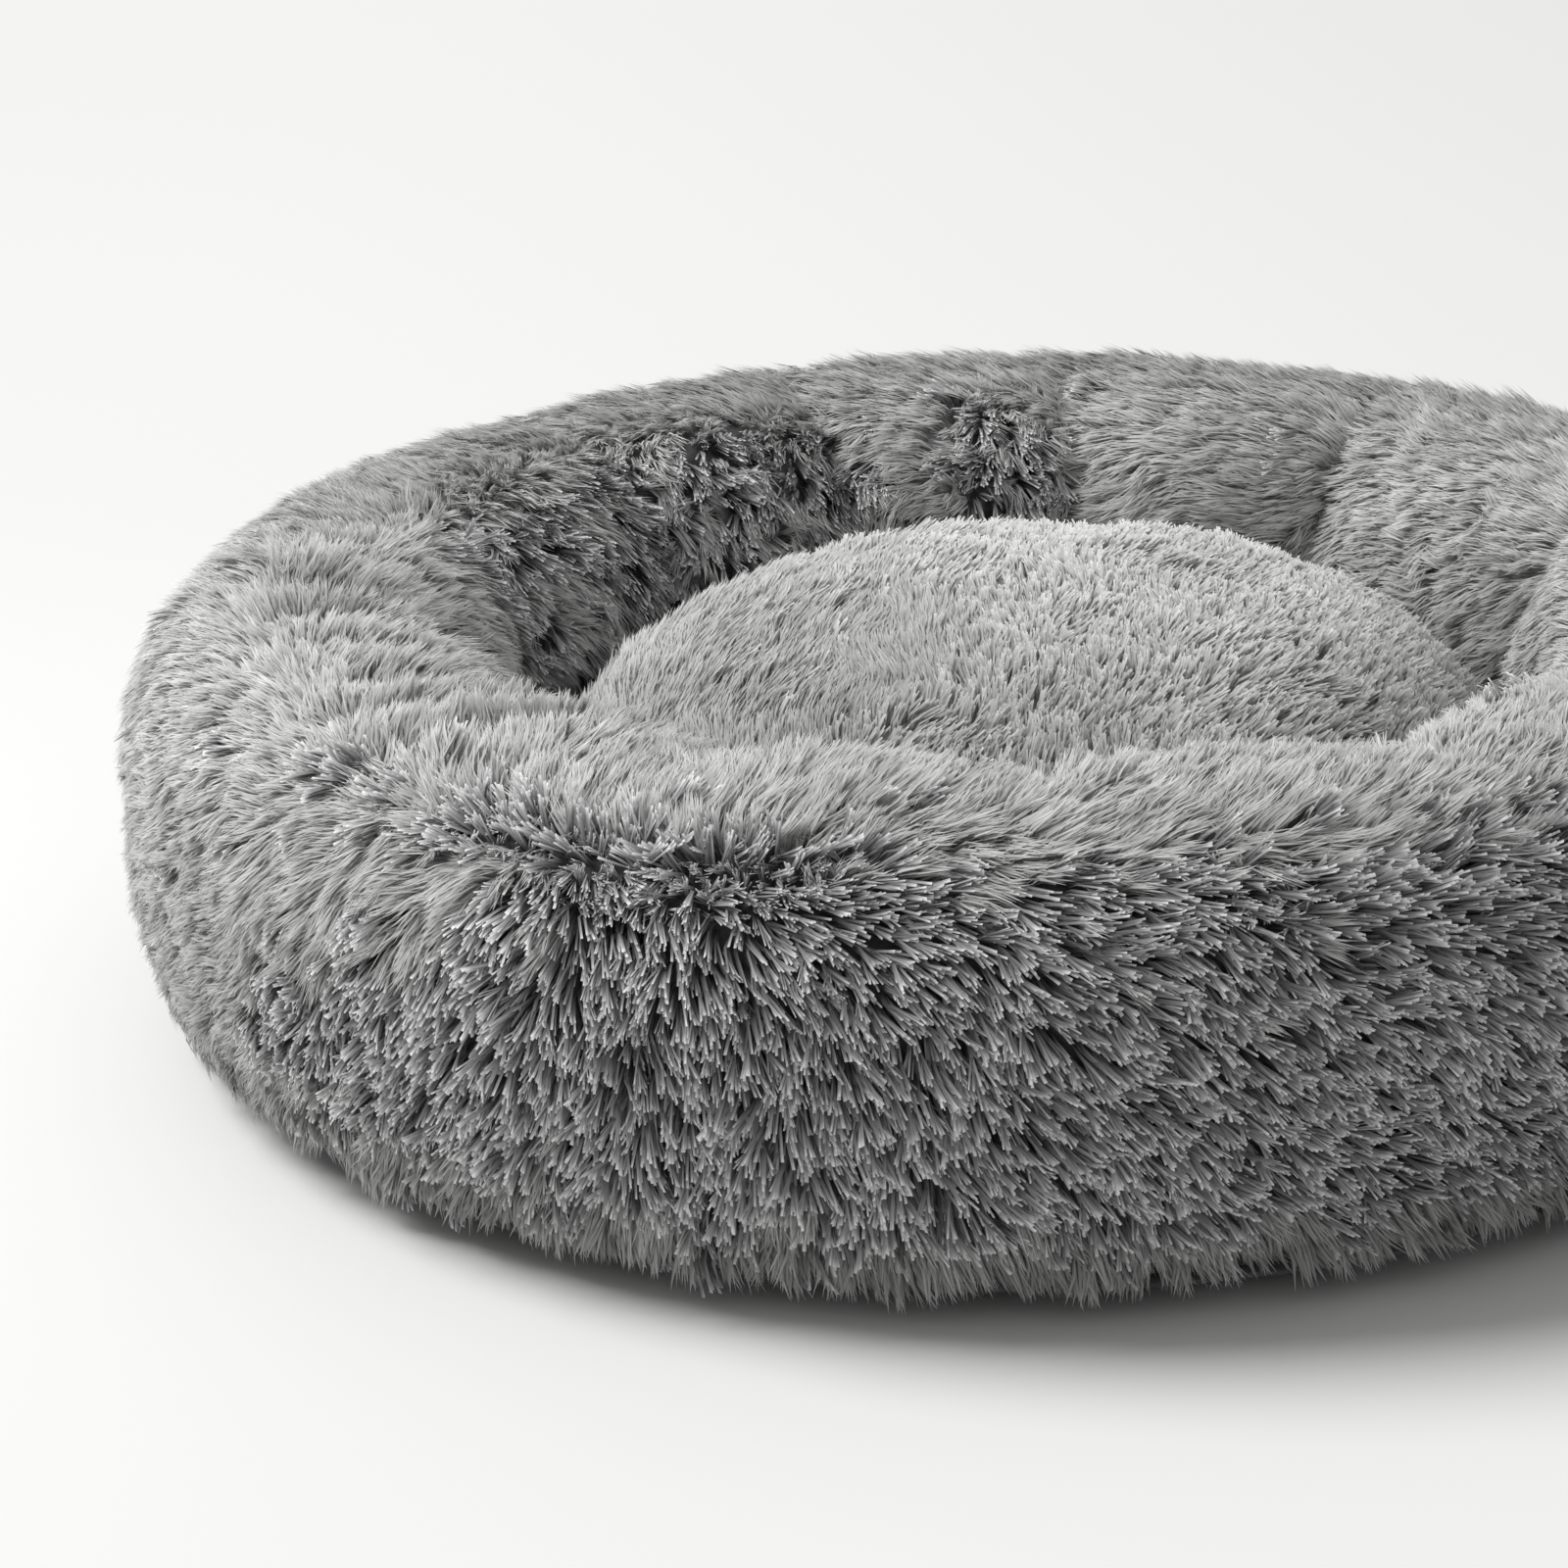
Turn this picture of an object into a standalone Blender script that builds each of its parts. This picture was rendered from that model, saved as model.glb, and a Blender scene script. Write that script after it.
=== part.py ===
# Round plush pet bed: a stuffed ring with a gathered inner wall and a lift-out cushion.
# A zip in the base seam opens the cover. Metres, +Z up, origin on the floor under the centre, front at -Y.

import math

import bmesh
import bpy
from mathutils import Matrix, Vector

# Ring, seen in section
RING_CENTRE_RADIUS = 0.290
RING_HALF_WIDTH = 0.085
RING_WIDEST_HEIGHT = 0.094
RING_CREST_HEIGHT = 0.191
RING_TUCK = 0.016
SECTION_POWER = 2.4
CREST_DROP = 0.011
CREST_PEAK_DEG = 208.0
PLUSH_THICKNESS = 0.011
LINER_THICKNESS = 0.001
LINER_SLOT_WIDTH = 0.004
BASE_THICKNESS = 0.0016
SKIN_GAP = 0.0005
COVER_INNER_EDGE_DEG = 240.0

# Gathers on the inner wall, as directions seen from above, anticlockwise from +X
GATHER_AZIMUTHS_DEG = (20, 55, 85, 110, 135, 165, 190, 215, 245, 270, 300, 330, 355)
GATHER_DEPTH = 0.017
GATHER_SHARPNESS = 0.7
GATHER_START_DEG = 62.0
GATHER_FULL_DEG = 150.0
GATHER_HOLD_DEG = 200.0
GATHER_END_DEG = 250.0
GATHER_FOOT_SHARE = 0.35

# Counts that set how fine the soft forms are
RING_COLUMNS = 72
OUTLINE_STEP_DEG = 22.5
SKIN_STEP_DEG = 30.0
CUSHION_COLUMNS = 48
CUSHION_DOME_POINTS = 8
CUSHION_FOOT_POINTS = 5

# Base hem and zip in the seam between base and cover
HEM_WIDTH = 0.008
HEM_POINTS = 3
ZIP_HEIGHT = 0.024
ZIP_STAND_OFF = 0.0028
ZIP_START_DEG = 4.0
ZIP_END_DEG = 176.0
ZIP_STEPS = 48
TAPE_WIDTH = 0.009
TAPE_THICKNESS = 0.0006
TAPE_SPLIT = 0.0012
SEAM_GAP = 0.0005
BINDING_THICKNESS = 0.0014
COIL_RADIUS = 0.001
COIL_OFFSET = 0.0013
COIL_FACE_GAP = 0.0003
COIL_THROAT_OFFSET = 0.0023
STOP_LENGTH = 0.0025
STOP_INSET = 0.0008
STOP_WIDTH = 0.0025
STOP_HEIGHT = 0.002
STOP_EDGE = 0.0004

# Slider and pull
SLIDER_LENGTH = 0.012
SLIDER_NOSE_WIDTH = 0.0098
SLIDER_TAIL_WIDTH = 0.0086
SLIDER_CHANNEL_HALF = 0.0035
SLIDER_CHANNEL_TOP = 0.003
SLIDER_PLATE = 0.001
SLIDER_SLOT_HALF = 0.0009
SLIDER_POST_LENGTH = 0.0024
SLIDER_POST_WIDTH = 0.0013
SLIDER_STOP_GAP = 0.0005
SLIDER_NOSE_SHARES = ((-1.0, 0.72), (-0.86, 1.0), (-0.35, 1.0), (0.1, 0.86))
SLIDER_TAIL_SHARES = ((0.8, 0.95), (1.0, 0.6))
BRIDGE_LENGTH = 0.0074
BRIDGE_WIDTH = 0.002
BRIDGE_RISE = 0.002
BRIDGE_BAR = 0.0008
BRIDGE_LEG = 0.0011
PULL_PIN_RADIUS = 0.0005
PULL_PIN_HEIGHT = 0.001
PULL_THICKNESS = 0.0012
PULL_NECK_WIDTH = 0.0058
PULL_WINDOW_WIDTH = 0.0028
PULL_WINDOW_REACH = 0.0049
PULL_LENGTH = 0.024
PULL_WIDTH = 0.0078
PULL_HOLE_RADIUS = 0.0022
PULL_HOLE_INSET = 0.0045
PULL_END_STEPS = 8
PULL_HOLE_STEPS = 12
PART_OVERRUN = 0.0002

# Cushion
CUSHION_CLEARANCE = 0.002
CUSHION_RADIUS = RING_CENTRE_RADIUS - RING_HALF_WIDTH - CUSHION_CLEARANCE
CUSHION_SEAM_HEIGHT = 0.056
CUSHION_CROWN_HEIGHT = 0.172
CUSHION_POWER = 2.6
CUSHION_FOOT_POWER = 2.6
CUSHION_FOOT_TUCK = 0.012
CUSHION_PLUSH = 0.009
CUSHION_CLOTH = 0.001

# Fineness of welding and of the search for a seam's line
WELD_DISTANCE = 0.000001
MERGE_DISTANCE = 0.00001

PART_NAME = "donut_pet_bed"


def clear_scene():
    for item in list(bpy.data.objects):
        bpy.data.objects.remove(item, do_unlink=True)


def make_collections():
    parts = bpy.data.collections.new(PART_NAME)
    cutters = bpy.data.collections.new(PART_NAME + "_cutters")
    bpy.context.scene.collection.children.link(parts)
    bpy.context.scene.collection.children.link(cutters)
    return parts, cutters


def make_material(name, colour, roughness, metallic=0.0):
    material = bpy.data.materials.new(name)
    material.use_nodes = True
    shader = material.node_tree.nodes["Principled BSDF"]
    shader.inputs["Base Color"].default_value = (*colour, 1.0)
    shader.inputs["Roughness"].default_value = roughness
    shader.inputs["Metallic"].default_value = metallic
    return material


def link_piece(name, mesh, material, collection, parent=None):
    piece = bpy.data.objects.new(name, mesh)
    collection.objects.link(piece)
    mesh.materials.clear()
    mesh.materials.append(material)
    piece.parent = parent
    return piece


def smooth(mesh, angle_deg=40.0):
    mesh.shade_smooth()
    mesh.set_sharp_from_angle(angle=math.radians(angle_deg))


def signed_power(value, power):
    return math.copysign(abs(value) ** power, value)


def ease(value, start, end):
    share = min(max((value - start) / (end - start), 0.0), 1.0)
    return share * share * (3.0 - 2.0 * share)


# Shape of the ring

def gather_weight(angle_deg):
    """How strongly the gathers show: none outside, full on the inner wall, weaker at the foot."""
    rise = ease(angle_deg, GATHER_START_DEG, GATHER_FULL_DEG)
    fall = ease(angle_deg, GATHER_HOLD_DEG, GATHER_END_DEG)
    return rise * (1.0 - (1.0 - GATHER_FOOT_SHARE) * fall)


def gather_valley(azimuth_deg):
    """One in a gather's crease, zero on the crown of the pillow between two creases."""
    turn = 360.0
    azimuth = azimuth_deg % turn
    after = min((gather - azimuth) % turn for gather in GATHER_AZIMUTHS_DEG)
    before = min((azimuth - gather) % turn for gather in GATHER_AZIMUTHS_DEG)
    if after == 0.0 or before == 0.0:
        return 1.0
    share = before / (before + after)
    return 1.0 - math.sin(math.pi * share) ** GATHER_SHARPNESS


def ring_point(azimuth_deg, angle_deg, depth, floor_height):
    """Radius and height of a point in the ring's section, depth below the plush outline.

    The angle runs from the outermost line over the crest (90) to the inner wall (180).
    """
    sink = depth + GATHER_DEPTH * gather_weight(angle_deg) * gather_valley(azimuth_deg)
    angle = math.radians(angle_deg)
    share = 2.0 / SECTION_POWER
    half_width = RING_HALF_WIDTH - sink
    if math.sin(angle) > 0.0:
        drop = CREST_DROP * (1.0 - math.cos(math.radians(azimuth_deg - CREST_PEAK_DEG))) / 2.0
        half_height = RING_CREST_HEIGHT - RING_WIDEST_HEIGHT - drop - sink
    else:
        half_height = RING_WIDEST_HEIGHT + RING_TUCK - sink
    radius = RING_CENTRE_RADIUS + half_width * signed_power(math.cos(angle), share)
    height = RING_WIDEST_HEIGHT + half_height * signed_power(math.sin(angle), share)
    return radius, max(height, floor_height)


def outer_angle_at(height, depth):
    """Section angle of the outer underside where the skin at this depth reaches a height."""
    half_height = RING_WIDEST_HEIGHT + RING_TUCK - depth
    share = (RING_WIDEST_HEIGHT - height) / half_height
    return -math.degrees(math.asin(share ** (SECTION_POWER / 2.0)))


def loft_ring(name, skins, material, collection):
    """A closed ring through one section loop for each column.

    Each skin is a list of section angles with its depth and lowest height. Every skin cuts its quads
    along the same diagonal, so that one nests inside another.
    """
    angles = [angle for skin_angles, _, _ in skins for angle in skin_angles]
    mesh_data = bmesh.new()
    loops = []
    for column in range(RING_COLUMNS):
        azimuth_deg = 360.0 * column / RING_COLUMNS
        azimuth = math.radians(azimuth_deg)
        loop = []
        for skin_angles, depth, floor_height in skins:
            for angle in skin_angles:
                radius, height = ring_point(azimuth_deg, angle, depth, floor_height)
                place = (radius * math.cos(azimuth), radius * math.sin(azimuth), height)
                loop.append(mesh_data.verts.new(place))
        loops.append(loop)
    for column, loop in enumerate(loops):
        following = loops[(column + 1) % RING_COLUMNS]
        for index in range(len(loop)):
            ahead = (index + 1) % len(loop)
            quad = (loop[index], following[index], following[ahead], loop[ahead])
            rising = (angles[ahead] - angles[index]) % 360.0 < 180.0
            split = 0 if rising else 1
            mesh_data.faces.new((quad[split], quad[split + 1], quad[split + 2]))
            mesh_data.faces.new((quad[split], quad[split + 2], quad[(split + 3) % 4]))
    bmesh.ops.recalc_face_normals(mesh_data, faces=mesh_data.faces)
    mesh = bpy.data.meshes.new(name)
    mesh_data.to_mesh(mesh)
    mesh_data.free()
    smooth(mesh)
    return link_piece(name, mesh, material, collection)


def turn_profile(name, profile, columns, material, collection, parent=None):
    """A turned piece; the profile runs down its outer side from axis to axis."""
    mesh = bpy.data.meshes.new(name)
    points = [(radius, 0.0, height) for radius, height in profile]
    edges = [(index, index + 1) for index in range(len(points) - 1)]
    mesh.from_pydata(points, edges, [])
    piece = link_piece(name, mesh, material, collection, parent)
    screw = piece.modifiers.new("turned", "SCREW")
    screw.steps = columns
    screw.render_steps = columns
    screw.use_merge_vertices = True
    screw.merge_threshold = MERGE_DISTANCE
    screw.use_smooth_shade = True
    return piece


# Zip line: where the base cloth meets the cover under the ring's outer edge

class ZipLine:
    """Section frame of the zip: along is up the skin, out is away from the ring."""

    def __init__(self):
        depth = PLUSH_THICKNESS + SKIN_GAP
        angle = outer_angle_at(ZIP_HEIGHT, depth)
        below = Vector(ring_point(0.0, angle - 1.0, depth, 0.0))
        above = Vector(ring_point(0.0, angle + 1.0, depth, 0.0))
        self.along = (above - below).normalized()
        self.out = Vector((self.along.y, -self.along.x))
        self.centre = Vector(ring_point(0.0, angle, depth, 0.0)) + self.out * ZIP_STAND_OFF

    def place(self, across, outward):
        return self.centre + self.along * across + self.out * outward

    def angle_at(self, across):
        """Section angle of the line through a point of the tape, square to the skins."""
        radius, height = self.place(across, 0.0)
        shallow, deep = 0.0, PLUSH_THICKNESS
        while deep - shallow > WELD_DISTANCE:
            depth = (shallow + deep) / 2.0
            angle = outer_angle_at(height, depth)
            if ring_point(0.0, angle, depth, 0.0)[0] > radius:
                shallow = depth
            else:
                deep = depth
        return angle

    def matrix(self, azimuth_deg, outward=0.0):
        """World frame: X along the track, Y up the skin, Z away from the ring."""
        radius, height = self.place(0.0, outward)
        frame = Matrix.Identity(4)
        frame.col[0][:3] = (0.0, 1.0, 0.0)
        frame.col[1][:3] = (self.along.x, 0.0, self.along.y)
        frame.col[2][:3] = (self.out.x, 0.0, self.out.y)
        frame.col[3][:3] = (radius, 0.0, height)
        return Matrix.Rotation(math.radians(azimuth_deg), 4, "Z") @ frame

    def arc_deg(self, length):
        return math.degrees(length / self.centre.x)


def sweep_outline(name, outline, start_deg, end_deg, steps, material, collection):
    """An outline in radius and height, swept round the bed's axis between two directions."""
    mesh_data = bmesh.new()
    turn = Matrix.Rotation(math.radians(start_deg), 4, "Z")
    corners = [mesh_data.verts.new(turn @ Vector((radius, 0.0, height))) for radius, height in outline]
    face = mesh_data.faces.new(corners)
    bmesh.ops.spin(
        mesh_data,
        geom=[face] + list(face.edges) + corners,
        cent=(0.0, 0.0, 0.0),
        axis=(0.0, 0.0, 1.0),
        angle=math.radians(end_deg - start_deg),
        steps=steps,
    )
    bmesh.ops.recalc_face_normals(mesh_data, faces=mesh_data.faces)
    mesh = bpy.data.meshes.new(name)
    mesh_data.to_mesh(mesh)
    mesh_data.free()
    smooth(mesh)
    return link_piece(name, mesh, material, collection)


# Ring pieces

def angles_between(start, end, step):
    """Both ends and every whole step between them."""
    first = math.floor(start / step) + 1
    last = math.ceil(end / step) - 1
    return [start] + [step * index for index in range(first, last + 1)] + [end]


def build_bolster(zip_line, materials, parts):
    floor = BASE_THICKNESS + SKIN_GAP
    outer_edge = zip_line.angle_at(TAPE_WIDTH + SEAM_GAP)
    inner_edge = COVER_INNER_EDGE_DEG
    liner_depth = PLUSH_THICKNESS + SKIN_GAP
    fill_depth = liner_depth + LINER_THICKNESS + SKIN_GAP

    outline_angles = angles_between(outer_edge, inner_edge, OUTLINE_STEP_DEG)
    skin_angles = angles_between(-90.0, 270.0, SKIN_STEP_DEG)
    backing_angles = angles_between(outer_edge, inner_edge, SKIN_STEP_DEG)

    cover = ((outline_angles, 0.0, floor), (backing_angles[::-1], PLUSH_THICKNESS, floor))
    loft_ring("bolster_cover", cover, materials["plush"], parts)

    slot_share = (LINER_SLOT_WIDTH / 2.0 / (RING_HALF_WIDTH - liner_depth)) ** (SECTION_POWER / 2.0)
    slot_deg = math.degrees(math.asin(slot_share))
    liner_angles = [-90.0 + slot_deg] + skin_angles[1:-1] + [270.0 - slot_deg]
    liner_inner = liner_depth + LINER_THICKNESS
    liner = (
        (liner_angles, liner_depth, floor),
        (liner_angles[::-1], liner_inner, floor + LINER_THICKNESS),
    )
    loft_ring("bolster_liner", liner, materials["liner"], parts)

    fill_floor = floor + LINER_THICKNESS + SKIN_GAP
    loft_ring("bolster_fill", ((skin_angles[:-1], fill_depth, fill_floor),), materials["fill"], parts)


def build_base(zip_line, materials, parts):
    inner_depth = PLUSH_THICKNESS
    outer_depth = inner_depth - BASE_THICKNESS
    hem_depth = outer_depth - BASE_THICKNESS
    rim_angle = zip_line.angle_at(-TAPE_WIDTH - SEAM_GAP)
    hem_angle = zip_line.angle_at(-TAPE_WIDTH - SEAM_GAP - HEM_WIDTH)
    inner_start = outer_angle_at(BASE_THICKNESS, inner_depth)
    outer_start = outer_angle_at(0.0, outer_depth)

    profile = [(0.0, BASE_THICKNESS)]
    for index in range(HEM_POINTS + 1):
        angle = inner_start + (rim_angle - inner_start) * index / HEM_POINTS
        profile.append(ring_point(0.0, angle, inner_depth, BASE_THICKNESS))
    profile.append(ring_point(0.0, rim_angle, hem_depth, 0.0))
    profile.append(ring_point(0.0, hem_angle, hem_depth, 0.0))
    profile.append(ring_point(0.0, hem_angle, outer_depth, 0.0))
    profile.append(ring_point(0.0, outer_start, outer_depth, 0.0))
    profile.append((0.0, 0.0))
    turn_profile("base_panel", profile, RING_COLUMNS, materials["base"], parts)


def strip_outline(zip_line, near, far, thickness):
    half = thickness / 2.0
    corners = ((near, -half), (far, -half), (far, half), (near, half))
    return [zip_line.place(across, outward) for across, outward in corners]


def build_coil(name, side, zip_line, slider_deg, materials, parts):
    """One coil, a tube along its tape's edge that spreads round the slider's post at the closed end."""
    outward = TAPE_THICKNESS / 2.0 + COIL_FACE_GAP + COIL_RADIUS
    throat_deg = slider_deg - zip_line.arc_deg(SLIDER_LENGTH / 2.0)
    closed_deg = slider_deg
    end_deg = ZIP_END_DEG - zip_line.arc_deg(STOP_INSET + STOP_LENGTH + SLIDER_STOP_GAP)
    route = [(throat_deg, COIL_THROAT_OFFSET)]
    route.append((throat_deg + zip_line.arc_deg(SLIDER_POST_LENGTH), COIL_THROAT_OFFSET))
    for index in range(ZIP_STEPS + 1):
        route.append((closed_deg + (end_deg - closed_deg) * index / ZIP_STEPS, COIL_OFFSET))
    curve = bpy.data.curves.new(name, "CURVE")
    curve.dimensions = "3D"
    curve.bevel_depth = COIL_RADIUS
    curve.bevel_resolution = 1
    curve.use_fill_caps = True
    spline = curve.splines.new("POLY")
    spline.points.add(len(route) - 1)
    for point, (azimuth_deg, across) in zip(spline.points, route):
        radius, height = zip_line.place(side * across, outward)
        azimuth = math.radians(azimuth_deg)
        point.co = (radius * math.cos(azimuth), radius * math.sin(azimuth), height, 1.0)
    coil = bpy.data.objects.new(name, curve)
    parts.objects.link(coil)
    curve.materials.append(materials["coil"])
    return coil


def build_zip(zip_line, slider_deg, materials, parts):
    for name, side in (("upper", 1.0), ("lower", -1.0)):
        outline = strip_outline(zip_line, side * TAPE_SPLIT, side * TAPE_WIDTH, TAPE_THICKNESS)
        sweep_outline(
            "zip_tape_" + name, outline, ZIP_START_DEG, ZIP_END_DEG, ZIP_STEPS, materials["tape"], parts
        )
        build_coil("zip_coil_" + name, side, zip_line, slider_deg, materials, parts)
        stop_start = ZIP_START_DEG + zip_line.arc_deg(STOP_INSET)
        build_stop(
            "zip_top_stop_" + name, side * STOP_EDGE, side * (STOP_EDGE + STOP_WIDTH),
            stop_start, zip_line, materials, parts,
        )
    bottom_start = ZIP_END_DEG - zip_line.arc_deg(STOP_INSET + STOP_LENGTH)
    build_stop("zip_bottom_stop", -STOP_WIDTH, STOP_WIDTH, bottom_start, zip_line, materials, parts)

    binding = strip_outline(zip_line, -TAPE_WIDTH, TAPE_WIDTH, BINDING_THICKNESS)
    gap_deg = zip_line.arc_deg(SEAM_GAP)
    sweep_outline(
        "seam_binding", binding, ZIP_END_DEG + gap_deg, 360.0 + ZIP_START_DEG - gap_deg,
        ZIP_STEPS, materials["binding"], parts,
    )


def build_stop(name, near, far, start_deg, zip_line, materials, parts):
    """A small clamped block seated on the tape's outer face."""
    low = TAPE_THICKNESS / 2.0 + COIL_FACE_GAP
    high = low + STOP_HEIGHT
    corners = ((near, low), (far, low), (far, high), (near, high))
    outline = [zip_line.place(across, outward) for across, outward in corners]
    end_deg = start_deg + zip_line.arc_deg(STOP_LENGTH)
    return sweep_outline(name, outline, start_deg, end_deg, 1, materials["metal"], parts)


# Slider and pull, in the zip's own frame: X along the track, Y across it, Z outward

def add_block(name, low, high, collection):
    """A box between two corners, as its own object."""
    mesh_data = bmesh.new()
    bmesh.ops.create_cube(mesh_data, size=1.0)
    size = Vector(high) - Vector(low)
    centre = (Vector(high) + Vector(low)) / 2.0
    bmesh.ops.scale(mesh_data, vec=size, verts=mesh_data.verts)
    bmesh.ops.translate(mesh_data, vec=centre, verts=mesh_data.verts)
    mesh = bpy.data.meshes.new(name)
    mesh_data.to_mesh(mesh)
    mesh_data.free()
    block = bpy.data.objects.new(name, mesh)
    collection.objects.link(block)
    return block


def add_plate(name, outline, low, high, collection, holes=()):
    """A flat outline with round holes, between two heights, as a mesh object."""
    curve = bpy.data.curves.new(name, "CURVE")
    curve.dimensions = "2D"
    curve.fill_mode = "BOTH"
    curve.extrude = (high - low) / 2.0
    for points in (outline, *holes):
        spline = curve.splines.new("POLY")
        spline.points.add(len(points) - 1)
        spline.use_cyclic_u = True
        for point, (across, along) in zip(spline.points, points):
            point.co = (across, along, 0.0, 1.0)
    drawn = bpy.data.objects.new(name, curve)
    collection.objects.link(drawn)
    bpy.context.view_layer.update()
    mesh = bpy.data.meshes.new_from_object(drawn.evaluated_get(bpy.context.evaluated_depsgraph_get()))
    bpy.data.objects.remove(drawn, do_unlink=True)
    mesh_data = bmesh.new()
    mesh_data.from_mesh(mesh)
    bmesh.ops.remove_doubles(mesh_data, verts=mesh_data.verts, dist=WELD_DISTANCE)
    bmesh.ops.translate(mesh_data, vec=(0.0, 0.0, (low + high) / 2.0), verts=mesh_data.verts)
    bmesh.ops.recalc_face_normals(mesh_data, faces=mesh_data.faces)
    mesh_data.to_mesh(mesh)
    mesh_data.free()
    plate = bpy.data.objects.new(name, mesh)
    collection.objects.link(plate)
    return plate


def join_blocks(body, others):
    """Boolean unions kept live on the body; the others become hidden guides."""
    for other in others:
        modifier = body.modifiers.new("union", "BOOLEAN")
        modifier.operation = "UNION"
        modifier.solver = "EXACT"
        modifier.object = other
        other.hide_render = True
        other.display_type = "WIRE"
        other.parent = body


def arc_points(centre, radius, start_deg, end_deg, count):
    points = []
    for index in range(count + 1):
        angle = math.radians(start_deg + (end_deg - start_deg) * index / count)
        points.append((centre[0] + radius * math.cos(angle), centre[1] + radius * math.sin(angle)))
    return points


def slider_outline():
    """Wide at the nose, waisted in the middle, round at the tail."""
    half = SLIDER_LENGTH / 2.0
    side = [(half * along, SLIDER_NOSE_WIDTH / 2.0 * across) for along, across in SLIDER_NOSE_SHARES]
    side += [(half * along, SLIDER_TAIL_WIDTH / 2.0 * across) for along, across in SLIDER_TAIL_SHARES]
    return side + [(along, -across) for along, across in side[::-1]]


def build_slider(zip_line, slider_deg, axis_empty, materials, parts, cutters):
    half = SLIDER_LENGTH / 2.0
    plate_top = SLIDER_CHANNEL_TOP + SLIDER_PLATE
    back_top = -SLIDER_SLOT_HALF
    outline = slider_outline()
    front = add_plate("zip_slider", outline, SLIDER_CHANNEL_TOP, plate_top, parts)
    front.data.materials.clear()
    front.data.materials.append(materials["metal"])
    back = add_plate("slider_back", outline, back_top - SLIDER_PLATE, back_top, cutters)

    wall_start = half * SLIDER_NOSE_SHARES[1][0]
    wall_end = half * SLIDER_TAIL_SHARES[0][0]
    wall_out = SLIDER_TAIL_WIDTH / 2.0 * SLIDER_TAIL_SHARES[0][1]
    walls = []
    for side in (1.0, -1.0):
        near = side * SLIDER_CHANNEL_HALF
        far = side * wall_out
        low = (wall_start, min(near, far), SLIDER_SLOT_HALF)
        high = (wall_end, max(near, far), SLIDER_CHANNEL_TOP + PART_OVERRUN)
        walls.append(add_block("slider_wall", low, high, cutters))
    post_half = SLIDER_POST_WIDTH / 2.0
    post = add_block(
        "slider_post",
        (-half + PART_OVERRUN, -post_half, back_top - PART_OVERRUN),
        (-half + SLIDER_POST_LENGTH, post_half, SLIDER_CHANNEL_TOP + PART_OVERRUN),
        cutters,
    )
    bridge_half = BRIDGE_LENGTH / 2.0
    bar_low = plate_top + BRIDGE_RISE
    bar_high = bar_low + BRIDGE_BAR
    across = BRIDGE_WIDTH / 2.0
    bar = add_block("slider_bar", (-bridge_half, -across, bar_low), (bridge_half, across, bar_high), cutters)
    legs = []
    for side in (1.0, -1.0):
        ends = sorted((side * bridge_half, side * (bridge_half - BRIDGE_LEG)))
        low = (ends[0], -across, plate_top - PART_OVERRUN)
        high = (ends[1], across, bar_low + PART_OVERRUN)
        legs.append(add_block("slider_leg", low, high, cutters))
    join_blocks(front, [post, back, *walls, *legs, bar])
    front.parent = axis_empty
    front.matrix_world = zip_line.matrix(slider_deg)
    return front


def build_pull(zip_line, slider_deg, axis_empty, materials, parts):
    """The tab lies along the closed chain; its origin is on the pin under the bridge."""
    pin_outward = SLIDER_CHANNEL_TOP + SLIDER_PLATE + PULL_PIN_HEIGHT
    neck = PULL_NECK_WIDTH / 2.0
    tab = PULL_WIDTH / 2.0
    window = PULL_WINDOW_WIDTH / 2.0
    pin = PULL_PIN_RADIUS
    end = PULL_LENGTH - tab
    outline = [(-pin, -neck), (PULL_WINDOW_REACH, -neck)]
    outline += arc_points((end, 0.0), tab, -90.0, 90.0, PULL_END_STEPS)
    outline += [(PULL_WINDOW_REACH, neck), (-pin, neck)]
    opening = [(pin, -window), (PULL_WINDOW_REACH, -window), (PULL_WINDOW_REACH, window), (pin, window)]
    hole_centre = (PULL_LENGTH - PULL_HOLE_INSET, 0.0)
    hole = arc_points(hole_centre, PULL_HOLE_RADIUS, 0.0, 360.0, PULL_HOLE_STEPS)[:-1]
    half = PULL_THICKNESS / 2.0
    pull = add_plate("zip_pull", outline, -half, half, parts, holes=(opening, hole))
    pull.data.materials.clear()
    pull.data.materials.append(materials["metal"])
    pull.parent = axis_empty
    pull.matrix_world = zip_line.matrix(slider_deg, pin_outward)
    return pull


# Cushion

def dome_points(radius, rise, power, count):
    """From the crown down to the seam."""
    points = []
    for index in range(count):
        angle = math.radians(90.0 * (1.0 - index / (count - 1)))
        share = 2.0 / power
        radial = radius * abs(math.cos(angle)) ** share if index else 0.0
        points.append((radial, CUSHION_SEAM_HEIGHT + rise * math.sin(angle) ** share))
    return points


def foot_points(radius, floor, count):
    """From the seam down and in to the flat underside."""
    drop = CUSHION_SEAM_HEIGHT - SKIN_GAP - floor
    full_drop = drop + CUSHION_FOOT_TUCK
    share = 2.0 / CUSHION_FOOT_POWER
    last = math.asin((drop / full_drop) ** (CUSHION_FOOT_POWER / 2.0))
    points = []
    for index in range(count):
        angle = last * index / (count - 1)
        height = CUSHION_SEAM_HEIGHT - SKIN_GAP - full_drop * math.sin(angle) ** share
        points.append((radius * math.cos(angle) ** share, height))
    return points


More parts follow.
